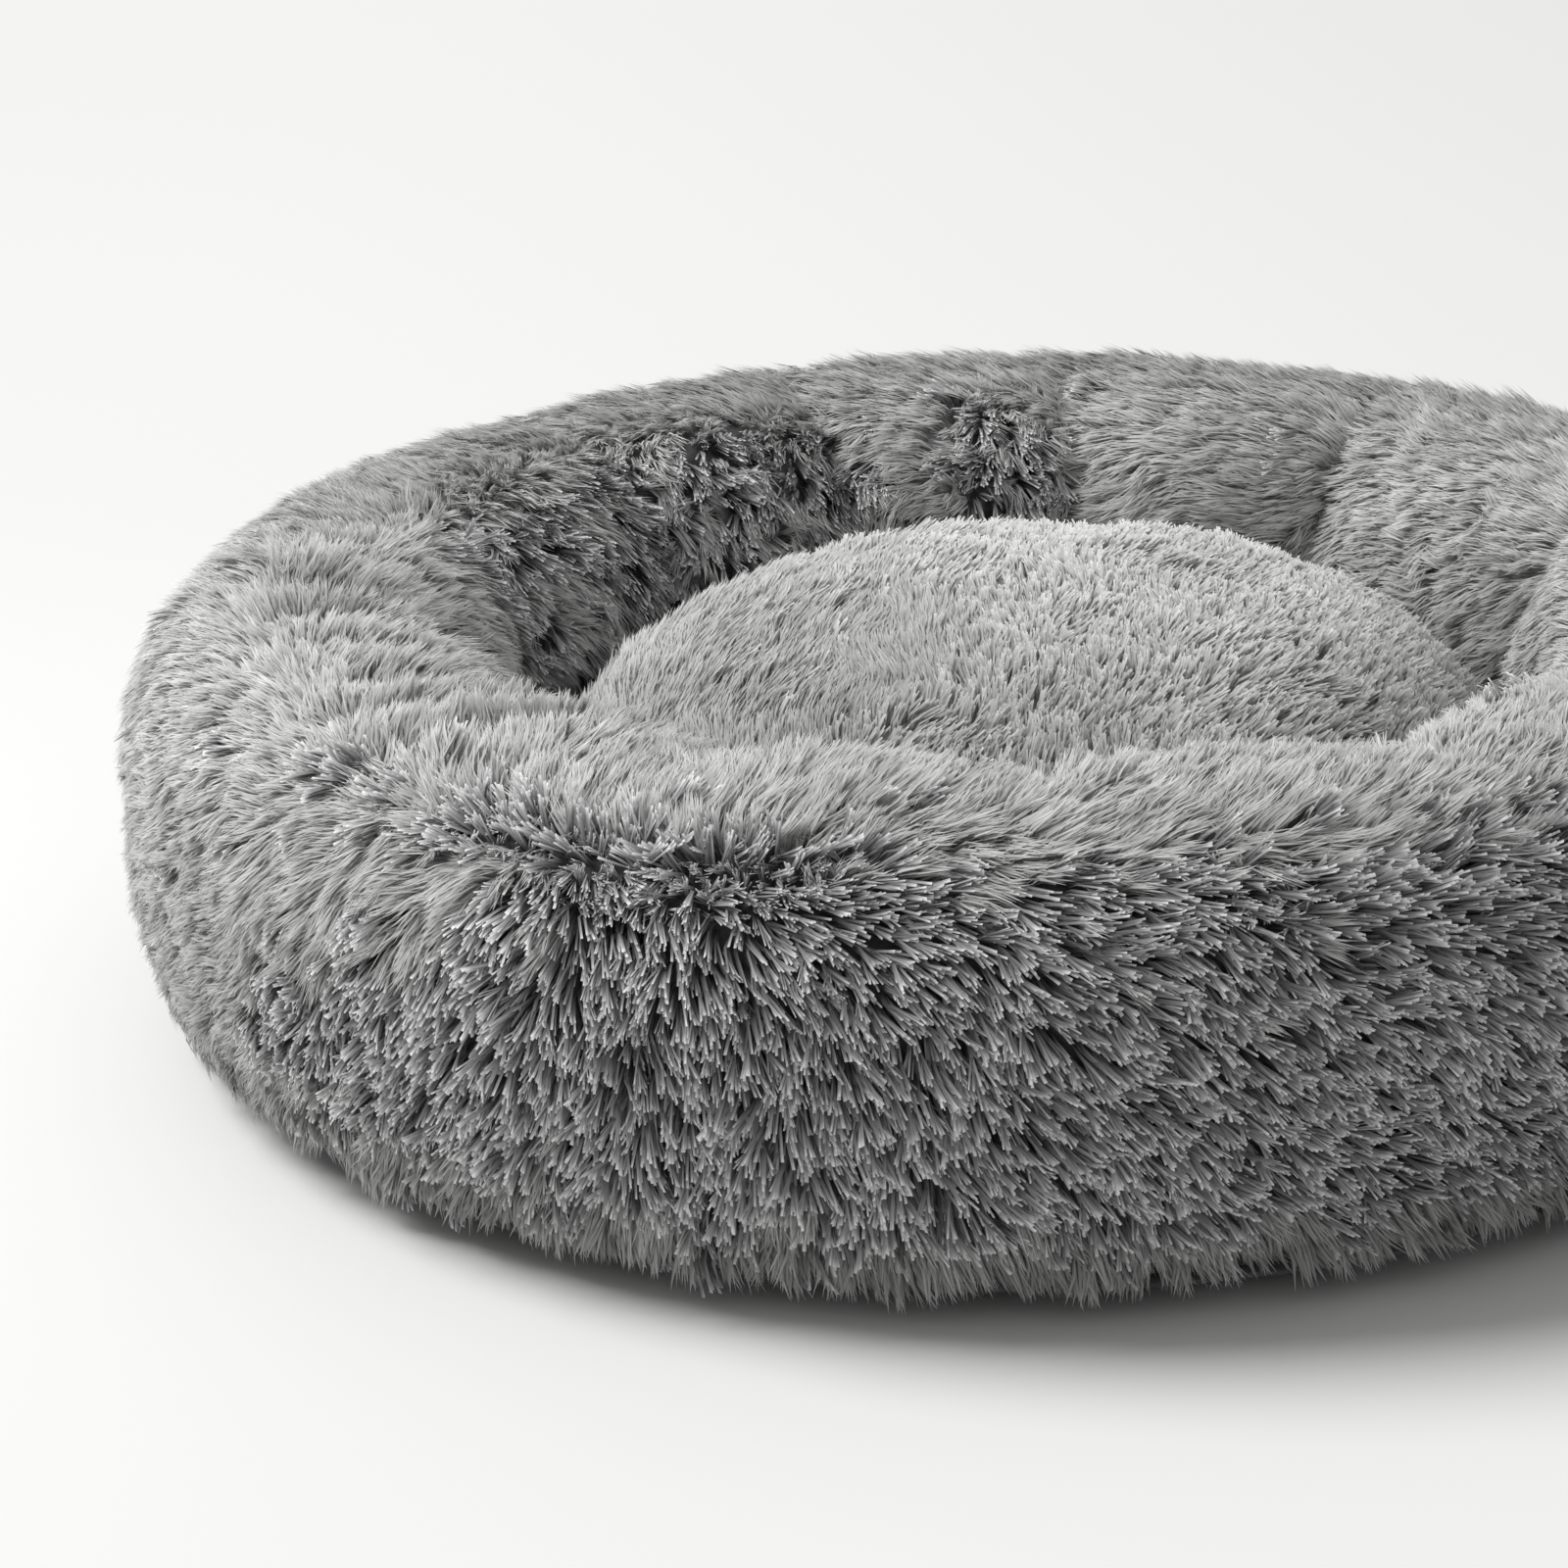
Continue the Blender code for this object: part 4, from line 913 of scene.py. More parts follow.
def partings(points, upward, sideways):
    # how fast the comb directions spread apart, smoothed over a few millimetres, in 1/m
    size = np.maximum(np.hypot(upward, sideways), 1e-6)
    rise = np.linalg.norm(np.gradient(points, axis=0), axis=-1)
    across = np.linalg.norm(np.roll(points, -1, axis=1) - np.roll(points, 1, axis=1), axis=-1) / 2
    heading = sideways / size
    spread = np.gradient(upward / size, axis=0) / rise
    spread = spread + (np.roll(heading, -1, axis=1) - np.roll(heading, 1, axis=1)) / 2 / across
    smooth = np.zeros_like(spread)
    shifts = [(row, column) for row in (-2, -1, 0, 1, 2) for column in (-2, -1, 0, 1, 2)]
    for row, column in shifts:
        moved = np.roll(spread, column, axis=1)
        smooth += moved[np.clip(np.arange(len(moved)) + row, 0, len(moved) - 1)]
    return smooth / len(shifts)


def ringNap(azimuth, angle, points):
    # what the pile of the ring follows, for each point of its skin
    upSection = unit(np.gradient(points, axis=0))
    wrapped = np.concatenate([points[:, -1:], points, points[:, :1]], axis=1)
    roundRing = unit(wrapped[:, 2:] - wrapped[:, :-2])
    upward, sideways, mat = combed(azimuth, angle)
    flow = upSection * upward[..., None] + roundRing * sideways[..., None]
    tangle = np.maximum(1 - ease(np.linalg.norm(flow, axis=-1), *nap["weak"]),
                        ease(partings(points, upward, sideways), *nap["parting"]))
    tangle = np.maximum(tangle, nap["matTangle"] * mat)
    turned = (azimuth + 180) % 360 - 180
    along = {"section": angle, "downwards": -angle, "bothWays": turned, "anticlockwise": turned % 360}
    past = {label: ease(along[kind], start, end) for label, (kind, start, end) in nap["edges"].items()}
    noises = {label: ringNoise(azimuth, angle, *values) for label, values in nap["noises"].items()}
    start = nap["frontStart"] + nap["frontSlant"] * np.clip(angle, 0, nap["frontSlantTo"])
    front = ease(turned, start, start + nap["frontWidth"]) * (1 - past["frontEnd"]) * (1 - past["frontTop"])
    front = front * (nap["frontAtFoot"] + (1 - nap["frontAtFoot"]) * past["frontFoot"])
    left = np.clip((1 - past["leftEnd"]) * (1 - past["leftTop"]) + past["leftBack"], 0, 1)
    inner = past["innerFrom"] * (1 - past["innerTo"]) * past["innerRise"]
    back = past["backFrom"] * (1 - past["backTo"]) * (1 - past["innerRise"])
    regions = {
        **past, "everywhere": np.ones_like(angle), "tangle": tangle, "mat": mat,
        "gathered": gatherWeight(angle),
        "valley": gatherValley(azimuth.ravel()).reshape(azimuth.shape) * gatherWeight(angle),
        "left": left * (1 - past["leftInside"]), "inward": past["inward"] * (1 - mat), "inner": inner,
        "innerMat": inner * mat, "back": back, "backTop": back * past["backRise"],
        # the left outside, where painted light makes the pile paler
        "shade": (1 - past["shadeEnd"]) * (1 - past["shadeTop"]),
        "tanglePaintedShade": tangle * (1 - past["tanglePaintedShade"]), "frontRight": front * past["frontRight"],
        "standNoise": noises["stand"], "pileNoise": noises["pile"], "paleNoise": noises["pale"]}
    fields = {label: sum(share * regions[region] for region, share in shares.items())
              for label, shares in nap["adds"].items()}
    # the pile is clumped at the front, and where it is matted or parted
    clumped = np.maximum(np.maximum(front, nap["matClumped"] * mat),
                         nap["tangleClumped"] * tangle * (1 - past["tangleFine"]))
    fine = 1 - clumped + nap["fineNoise"] * noises["fine"] + nap["matNoise"] * mat * noises["mat"]
    return {"flow": unit(flow), "fine": fine, "tangle": tangle, **fields}


def makeRing():
    azimuth, angle = np.meshgrid(np.arange(ring["columns"]) * 360 / ring["columns"],
                                 np.linspace(ring["outerEdge"], ring["innerEdge"], ring["rows"]))
    proud = lumps(azimuth, angle, ring["lumpSeed"], ring["lumps"]) * ease(angle, *ring["lumpRise"])
    points = ringPoints(azimuth, angle, ringPile["backing"], proud + crestSteps(azimuth, angle))
    fields = ringNap(azimuth, angle, points)
    mesh = gridMesh("ring_backing", points[::2, ::2], closed=True)
    backing = linkObject("ring_backing", mesh, ringUnderfur)
    storeOnPoints(backing.data, {"fine": fields["fine"][::2, ::2]})
    thicken(backing, ringPile["cloth"])
    piles = growSectors("ring", pileTree("shagPile"), points, fields, ringPile, ringPlush)
    for piece in (backing, *piles):
        finishPiece(piece, bed, "ring_plush", "bolster_cover")


makeRing()
print("ring made")


# Cushion: a dome of shorter pile

cushion = {
    "radius": 0.203, "seam": 0.056, "crown": 0.172, "power": 2.6, "columns": 216, "rows": 40,
    "backing": 6 * mm, "lastAngle": 89.5, "crownFrom": 0.1,
    "lumps": 1.5 * mm, "lumpNoise": (61, 0.12), "lumpRise": (0, 30),
    # the pile fans out over the dome: to the right and away on the left, straight away on the right
    "headings": {-0.2: 40, -0.12: 48, 0.0: 82, 0.1: 68, 0.2: 60},
    "patchNoise": (64, 0.09), "patchTurn": 0.3, "flowNoises": ((62, 0.035), (63, 0.035)), "flowTurn": 0.3,
    "stand": 0.06, "standSpread": 0.12, "standNoise": (65, 0.03),
    "fineSpan": (-0.05, 0.15), "finePatch": 0.03, "fineSpread": 0.25, "fineNoise": (66, 0.012),
    # painted shade darkens the nap towards the front left, and the nap is paler towards the far edge
    "paintedShadeAt": (-0.06, -0.13), "paintedShadeReach": (0.12, 0.085), "dark": -1.0,
    "farSpan": (-0.06, 0.14), "far": 0.7, "patchPale": 0.2,
}
cushionPile = {
    "clumped": {
        "strands": 10, "profile": ((0, 0), (0.5, 1.0), (1, 0.6)), "length": 13 * mm, "lean": 0.84,
        "width": 0.95 * mm, "rootSpread": 2.3 * mm, "tipGather": 0.45, "roll": 0.7, "bend": 0.12,
    },
    "fine": {
        "strands": 12, "profile": ((0, 0), (0.5, 1.0), (1, 0)), "length": 13.3 * mm, "lean": 0.87,
        "width": 1.02 * mm, "rootSpread": 2.9 * mm, "tipGather": 0.15, "roll": 0.8, "bend": 0.1,
    },
    "growth": {
        "Clump Spacing": 2.9 * mm, "Fine Spacing": 3.2 * mm, "Curl Spacing": 2.3 * mm, "Density": 200000.0,
        "Turn Spread": 0.24, "Tilt Spread": 0.12, "Size Spread": 0.12, "Sway": 5 * mm, "Sway Scale": 110.0,
        "Own Normal": 0.7, "Settle Height": 5 * mm,
    },
    "variants": 6, "seed": 300, "growthSeed": 60, "sectors": 2,
}


def cushionNap(points):
    x, y = points[..., 0], points[..., 1]
    flat = np.zeros_like(x)
    patch = noiseAt(points, *cushion["patchNoise"])
    heading = np.radians(np.interp(x, list(cushion["headings"]), list(cushion["headings"].values())))
    heading = heading + cushion["patchTurn"] * patch
    waver = [noiseAt(points, *values) for values in cushion["flowNoises"]]
    flow = np.stack([np.cos(heading), np.sin(heading), flat], axis=-1)
    flow = flow + cushion["flowTurn"] * np.stack([*waver, flat], axis=-1)
    fine = ease(cushion["finePatch"] * patch - x, *cushion["fineSpan"])
    # painted shade: a darker patch at the front left of the dome
    dark = np.exp(-sum(((value - at) / reach) ** 2 for value, at, reach in zip(
        (x, y), cushion["paintedShadeAt"], cushion["paintedShadeReach"])))
    pale = cushion["far"] * ease(y, *cushion["farSpan"]) + cushion["dark"] * dark
    pale = pale + cushion["patchPale"] * patch
    return {
        "flow": unit(flow), "pile": np.ones_like(x), "crowd": np.ones_like(x), "tangle": flat, "pale": pale,
        "stand": cushion["stand"] + cushion["standSpread"] * noiseAt(points, *cushion["standNoise"]),
        "fine": fine + cushion["fineSpread"] * noiseAt(points, *cushion["fineNoise"])}


def makeCushion():
    azimuth, angle = np.meshgrid(np.arange(cushion["columns"]) * 360 / cushion["columns"],
                                 np.linspace(0, cushion["lastAngle"], cushion["rows"]))
    turn, around = np.radians(angle), np.radians(azimuth)
    share = 2 / cushion["power"]
    radius = (cushion["radius"] - cushion["backing"]) * np.cos(turn) ** share
    rise = cushion["crown"] - cushion["seam"] - cushion["backing"]
    height = cushion["seam"] + rise * np.sin(turn) ** share
    points = np.stack([radius * np.cos(around), radius * np.sin(around), height], axis=-1)
    rising = ease(angle, *cushion["lumpRise"])
    points[..., 2] += cushion["lumps"] * noiseAt(points, *cushion["lumpNoise"]) * rising
    mesh = gridMesh("cushion_backing", points, closed=True)
    storeOnPoints(mesh, {"fine": ease(-points[..., 0], *cushion["fineSpan"])})
    # the crown is closed, and the seam stays open
    shape = bmesh.new()
    shape.from_mesh(mesh)
    bmesh.ops.holes_fill(shape, edges=[edge for edge in shape.edges if edge.is_boundary
                                       and edge.verts[0].co.z > cushion["crownFrom"]])
    shape.to_mesh(mesh)
    shape.free()
    backing = linkObject("cushion_backing", mesh, cushionUnderfur)
    fields = cushionNap(points)
    piles = growSectors("cushion", pileTree("shortPile"), points, fields, cushionPile, cushionPlush)
    for piece in (backing, *piles):
        finishPiece(piece, loose, "cushion_plush", "cushion_top")


makeCushion()
print("cushion made")


# Woven, bonded and moulded materials of the pieces under the plush

weave = {"roughness": 0.85, "sheen": 0.15, "slub": 0.35, "contrast": 1.6, "bump": 0.7, "bumpPerThread": 0.25}
bonded = {"sheen": 0.2, "bends": 0.08, "hairs": 0.5, "contrast": 2.4, "bump": 0.5}
moulded = {"bump": 0.15, "bumpPerGrain": 0.1, "rubbed": -0.08, "unrubbed": 0.1}


def tone(tree, shader, height, dark, pale, bumpStrength, bumpDepth):
    # one height drives the colour and the bump
    mix = addNode(tree, "ShaderNodeMix", {0: height, 6: srgb(dark), 7: srgb(pale)}, data_type="RGBA")
    tree.links.new(mix.outputs[2], shader.inputs["Base Color"])
    bump = addNode(tree, "ShaderNodeBump", {"Height": height, "Strength": bumpStrength, "Distance": bumpDepth})
    tree.links.new(bump.outputs[0], shader.inputs["Normal"])


def wovenMaterial(name, dark, pale, threadPitch, uvMap=None, ribs=0.0):
    # over and under threads; ribs above zero lengthens the floats into ribs, as on webbing
    material, tree, shader = newMaterial(name, Roughness=weave["roughness"], Sheen_Weight=weave["sheen"])
    if uvMap:
        place = addNode(tree, "ShaderNodeUVMap", uv_map=uvMap)
    else:
        place = addNode(tree, "ShaderNodeTexCoord").outputs["Object"]
    scaled = addNode(tree, "ShaderNodeVectorMath", {0: place, "Scale": 1 / threadPitch},
                     operation="SCALE")
    parts = addNode(tree, "ShaderNodeSeparateXYZ", {0: scaled}).outputs
    threads = []
    for axis in ("X", "Y"):
        turn = addNode(tree, "ShaderNodeMath", {0: parts[axis], 1: math.pi}, operation="MULTIPLY")
        wave = addNode(tree, "ShaderNodeMath", {0: turn}, operation="SINE")
        threads.append(addNode(tree, "ShaderNodeMath", {0: wave}, operation="ABSOLUTE"))
    checker = addNode(tree, "ShaderNodeTexChecker", {"Vector": scaled, "Scale": 1.0, "Color1": (1, 1, 1, 1),
                                                     "Color2": (ribs, ribs, ribs, 1)})
    height = addNode(tree, "ShaderNodeMix", {0: checker.outputs["Fac"], 2: threads[0], 3: threads[1]},
                     data_type="FLOAT")
    slub = addNode(tree, "ShaderNodeTexNoise", {"Vector": scaled, "Scale": weave["slub"], "Detail": 2.0})
    worn = addNode(tree, "ShaderNodeMath", {0: height, 1: slub}, operation="MULTIPLY")
    raised = addNode(tree, "ShaderNodeMath", {0: worn, 1: weave["contrast"]}, operation="MULTIPLY")
    tone(tree, shader, raised, dark, pale, weave["bump"], threadPitch * weave["bumpPerThread"])
    return material


def fibreMaterial(name, dark, pale, fibreWidth, roughness):
    # loose or bonded fibres lying every way
    material, tree, shader = newMaterial(name, Roughness=roughness, Sheen_Weight=bonded["sheen"])
    place = addNode(tree, "ShaderNodeTexCoord").outputs["Object"]
    bent = addNode(tree, "ShaderNodeTexNoise", {
        "Vector": place, "Scale": bonded["bends"] / fibreWidth, "Detail": 3.0, "Distortion": 2.5})
    fine = addNode(tree, "ShaderNodeTexNoise", {
        "Vector": place, "Scale": bonded["hairs"] / fibreWidth, "Detail": 2.0, "Distortion": 1.0})
    height = addNode(tree, "ShaderNodeMath", {0: bent, 1: fine}, operation="MULTIPLY")
    raised = addNode(tree, "ShaderNodeMath", {0: height, 1: bonded["contrast"]}, operation="MULTIPLY")
    tone(tree, shader, raised, dark, pale, bonded["bump"], fibreWidth)
    return material


def mouldedMaterial(name, dark, pale, grain, roughness, metallic=0.0):
    # an even skin with the fine grain that moulding or painting leaves, glossier where it was rubbed
    material, tree, shader = newMaterial(name, Metallic=metallic)
    place = addNode(tree, "ShaderNodeTexCoord").outputs["Object"]
    mottle = addNode(tree, "ShaderNodeTexNoise", {"Vector": place, "Scale": 1 / grain, "Detail": 3.0})
    tone(tree, shader, mottle, dark, pale, moulded["bump"], grain * moulded["bumpPerGrain"])
    rubbed = addNode(tree, "ShaderNodeMapRange", {
        "Value": mottle, "To Min": roughness + moulded["rubbed"], "To Max": roughness + moulded["unrubbed"]})
    tree.links.new(rubbed.outputs[0], shader.inputs["Roughness"])
    return material


spunbond = fibreMaterial("spunbondPolypropylene", "#B9BAB8", "#EDEEEC", 0.6 * mm, 0.8)  # white bonded sheet
looseFill = fibreMaterial("polyesterFibre", "#C9C9C6", "#F4F4F1", 1.2 * mm, 0.95)  # fluffy white fibre
oxfordCloth = wovenMaterial("oxfordPolyester", "#18181A", "#333437", 0.9 * mm)  # coarse dark weave
plainCloth = wovenMaterial("plainPolyester", "#4A4B4D", "#77787B", 0.7 * mm)  # mid grey, flat and even
webbing = wovenMaterial("polyesterWebbing", "#1B1B1D", "#3B3C3F", 1.1 * mm, "clothMap", 0.35)  # ribbed
zipTape = wovenMaterial("polyesterZipTape", "#232325", "#414245", 0.6 * mm, "clothMap", 0.2)  # fine rows
gripRubber = mouldedMaterial("softVinyl", "#1C1C1D", "#303032", 0.5 * mm, 0.5)  # matt rubbery dots
coilNylon = mouldedMaterial("nylonMonofilament", "#232325", "#39393C", 0.3 * mm, 0.36)  # a soft shine
paintedZinc = mouldedMaterial("paintedZinc", "#2A2A2C", "#3E3E41", 0.35 * mm, 0.34)  # dark satin casting
thread = mouldedMaterial("polyesterThread", "#2C2C2E", "#4B4C4F", 0.2 * mm, 0.7)  # twisted sewing thread


# Inside of the ring: a bonded sack with its stuffing

inside = {
    "columns": 180, "rows": 60, "lump": 1.4 * mm,
    "sackDepth": 11.5 * mm, "sackWall": 1.0 * mm, "sackFloor": 2.1 * mm, "mouthHalf": 4.0, "sackSeed": 5,
    "fillDepth": 13.0 * mm, "fillFloor": 3.6 * mm, "fillSeed": 6,
    "lumpSpan": (-0.7, 0.2),  # sine of the section angle: no lumps where the ring lies on its base
}


def insidePoints(depth, lowest, start, end, seed):
    azimuth, angle = np.meshgrid(np.arange(inside["columns"]) * 360 / inside["columns"],
                                 np.linspace(start, end, inside["rows"]))
    dents = abs(lumps(azimuth, angle, seed, inside["lump"]))
    dents = dents * ease(np.sin(np.radians(angle)), *inside["lumpSpan"])
    points = ringPoints(azimuth, angle, depth, -dents)
    points[..., 2] = np.maximum(points[..., 2], lowest)
    return points


def makeInside():
    points = insidePoints(inside["sackDepth"], inside["sackFloor"], -90 + inside["mouthHalf"],
                          270 - inside["mouthHalf"], inside["sackSeed"])
    sack = linkObject("ring_inner_sack", gridMesh("ring_inner_sack", points, closed=True), spunbond)
    finishPiece(thicken(sack, inside["sackWall"]), bed, "nonwoven", "bolster_liner")
    points = insidePoints(inside["fillDepth"], inside["fillFloor"], -90, 270, inside["fillSeed"])
    points = np.concatenate([points[:-1], points[:1]], axis=0)
    mesh = mendMesh(gridMesh("ring_stuffing", points, closed=True))
    stuffing = linkObject("ring_stuffing", mesh, looseFill)
    finishPiece(stuffing, bed, "polyester_fill", "bolster_fill")


makeInside()
print("inner sack and stuffing made")


# Base cloth: a round panel with a turned hem and rows of grip dots

base = {
    "flatRadius": 0.318, "flatShares": (0.25, 0.5, 0.75, 0.9), "cloth": 1.0 * mm, "columns": 288,
    # radius in metres and height in millimetres of the cloth's upper side, out to the seam
    "inner": ((0.318, 1.6), (0.3352, 5.2), (0.3436, 14.4)),
    "hemTurn": 8.0 * mm, "hemLift": 1.6 * mm, "hemUnder": 0.6 * mm, "flatEdge": 3 * mm, "cutWidth": 0.698,
    # the cloth ripples a little between its seam and the flat: waves round the bed and where they start
    "ripple": 0.35 * mm, "ripples": {46: 1, 71: 2}, "rippleSpan": (0.24, 0.31),
    "dotHeight": 0.6 * mm, "dotSpacing": 13 * mm, "dotRadius": 1.4 * mm, "dotTip": 0.7, "dotField": 0.305,
    "dotRows": 49,
    "dotSunk": 1.2,  # the dots reach a little way into the cloth
}


def dotTree():
    tree, given = newTree("gripDots", {
        "Float": ("Spacing", "Field Radius", "Dot Radius", "Tip Share", "Dot Height"), "Int": ("Count",),
        "Material": ("Material",)})
    gaps = addNode(tree, "FunctionNodeIntegerMath", {0: given["Count"], 1: 1}, operation="SUBTRACT")
    width = addNode(tree, "ShaderNodeMath", {0: gaps, 1: given["Spacing"]}, operation="MULTIPLY")
    grid = addNode(tree, "GeometryNodeMeshGrid", {
        "Size X": width, "Size Y": width, "Vertices X": given["Count"], "Vertices Y": given["Count"]})
    # every second row is shifted by half a spacing
    place = addNode(tree, "GeometryNodeInputPosition")
    parts = addNode(tree, "ShaderNodeSeparateXYZ", {0: place}).outputs
    rowAt = addNode(tree, "ShaderNodeMath", {0: parts["Y"], 1: given["Spacing"]}, operation="DIVIDE")
    row = addNode(tree, "ShaderNodeMath", {0: rowAt}, operation="ROUND")
    odd = addNode(tree, "ShaderNodeMath", {0: row, 1: 2.0}, operation="FLOORED_MODULO")
    half = addNode(tree, "ShaderNodeMath", {0: given["Spacing"], 1: 0.5}, operation="MULTIPLY")
    aside = addNode(tree, "ShaderNodeMath", {0: odd, 1: half}, operation="MULTIPLY")
    shift = addNode(tree, "ShaderNodeCombineXYZ", {"X": aside})
    shifted = addNode(tree, "GeometryNodeSetPosition", {"Geometry": grid, "Offset": shift})
    reach = addNode(tree, "ShaderNodeVectorMath", {0: place}, operation="LENGTH").outputs["Value"]
    outside = addNode(tree, "FunctionNodeCompare", {0: reach, 1: given["Field Radius"]},
                      data_type="FLOAT", operation="GREATER_THAN")
    kept = addNode(tree, "GeometryNodeDeleteGeometry", {"Geometry": shifted, "Selection": outside},
                   domain="POINT")
    tip = addNode(tree, "ShaderNodeMath", {0: given["Dot Radius"], 1: given["Tip Share"]},
                  operation="MULTIPLY")
    dot = addNode(tree, "GeometryNodeMeshCone", {
        "Vertices": 8, "Radius Bottom": tip, "Radius Top": given["Dot Radius"], "Depth": given["Dot Height"]})
    placed = addNode(tree, "GeometryNodeInstanceOnPoints", {"Points": kept, "Instance": dot})
    real = addNode(tree, "GeometryNodeRealizeInstances", {"Geometry": placed})
    return closeTree(tree, real, given["Material"])


def makeBase():
    lift, hemLift = base["dotHeight"], base["hemLift"]
    out = np.array(zipLine["out"])
    inner = [(radius, height * mm) for radius, height in base["inner"]]
    rim = np.array(inner[-1])
    hem = rim - np.array(zipLine["along"]) * base["hemTurn"]
    above = [(base["flatRadius"] * share, base["cloth"] + lift) for share in (0.0, *base["flatShares"])]
    below = [(base["flatRadius"] * share, lift) for share in (*base["flatShares"][::-1], 0.0)]
    profile = [*above, *inner, rim + out * hemLift / 2, rim + out * hemLift, hem + out * hemLift,
               hem + out * base["hemUnder"], (base["flatRadius"] + base["flatEdge"], lift), *below]
    points = turnedPoints(profile, base["columns"])
    around = np.linspace(0, 2 * math.pi, base["columns"], endpoint=False)
    reach = np.linalg.norm(points[..., :2], axis=-1)
    ripple = sum(np.sin(around * count + turn) for count, turn in base["ripples"].items())
    ripple = base["ripple"] * ripple * ease(reach, *base["rippleSpan"])
    points[..., 2] = np.maximum(points[..., 2] + np.maximum(ripple, 0), lift)
    panel = linkObject("base_cloth", mendMesh(gridMesh("base_cloth", points, closed=True)), oxfordCloth)
    finishPiece(panel, bed, "base_cloth", "base_panel")
    dots = grow("base_grip_dots", dotTree(), {
        "Spacing": base["dotSpacing"], "Field Radius": base["dotField"],
        "Dot Radius": base["dotRadius"], "Tip Share": base["dotTip"],
        "Dot Height": lift * base["dotSunk"], "Count": base["dotRows"], "Material": gripRubber})
    dots.data.polygons.foreach_set("use_smooth", [False] * len(dots.data.polygons))
    lowest = min(vertex.co.z for vertex in dots.data.vertices)
    dots.data.transform(Matrix.Translation((0, 0, -lowest)))
    finishPiece(dots, bed, "base_cloth")


# Zip: its section frame has "along" up the skin and "out" away from the ring

zipLine = {
    "centre": (0.350051, 0.022476), "along": (0.544458, 0.838788), "out": (0.838788, -0.544458),
    "start": 4.0, "end": 176.0, "tapeWidth": 9 * mm, "tapeSplit": 1.2 * mm, "tapeThickness": 0.6 * mm,
    "tapeBead": 0.3, "bindingThickness": 1.4 * mm, "seamGap": 0.5 * mm, "stepsAround": 120,
    # a strip is thinner at its edges: shares of its width, and shares of its thickness there
    "stripShares": (0, 0.03, 0.12, 0.5, 0.88, 0.97, 1), "stripLifts": (0.35, 0.85, 1, 1, 1, 0.85, 0.35),
    "coilRadius": 1.0 * mm, "coilOffset": 1.3 * mm, "coilSpread": 2.3 * mm, "coilOut": 1.6 * mm,
    "throat": 4.622, "spreadFrom": 2.4 * mm, "closed": 5.604, "coilEnd": 175.378, "wireRadius": 0.26 * mm,
    "pitch": 1.6 * mm, "turnPoints": 6,
    "stitchRows": 7.6 * mm, "stitchSpacing": 3.4 * mm, "stitchLength": 2.3 * mm, "stitchRadius": 0.24 * mm,
    "stitchInset": 0.3,  # degrees
}
cast = {
    # name of the rounded piece, width of its rounding and body, for each metal piece of the CAD
    "zip_top_stop_upper": ("zip_top_stop_upper_clamp", 0.3 * mm, bed),
    "zip_top_stop_lower": ("zip_top_stop_lower_clamp", 0.3 * mm, bed),
    "zip_bottom_stop": ("zip_bottom_stop_clamp", 0.35 * mm, bed),
    "zip_slider": ("zip_slider_body_cast", 0.12 * mm, "zip_slider_body"),
    "zip_pull": ("zip_pull_tab", 0.18 * mm, "zip_pull_body"),
}


def onZip(across, outward):
    centre, along, out = (np.array(zipLine[key]) for key in ("centre", "along", "out"))
    return centre + along * across + out * outward


def makeStrip(name, near, far, thickness, start, end, material, edgeBead=0.0):
    # a woven strip with rounded edges; across it first, then round the bed
    half = thickness / 2
    shares, lifts = zipLine["stripShares"], list(zipLine["stripLifts"])
    lifts[2] += edgeBead
    outline = [onZip(near + (far - near) * s, half * k) for s, k in zip(shares, lifts)]
    outline += [onZip(near + (far - near) * s, -half * k) for s, k in zip(shares[::-1], lifts[::-1])]
    outline = np.array([*outline, outline[0]])
    around = np.radians(np.linspace(start, end, zipLine["stepsAround"] + 1))[:, None]
    points = np.stack([outline[:, 0] * np.cos(around), outline[:, 0] * np.sin(around),
                       np.repeat(outline[None, :, 1], len(around), axis=0)], axis=-1)
    return linkObject(name, mendMesh(gridMesh(name, points), close=True), material)


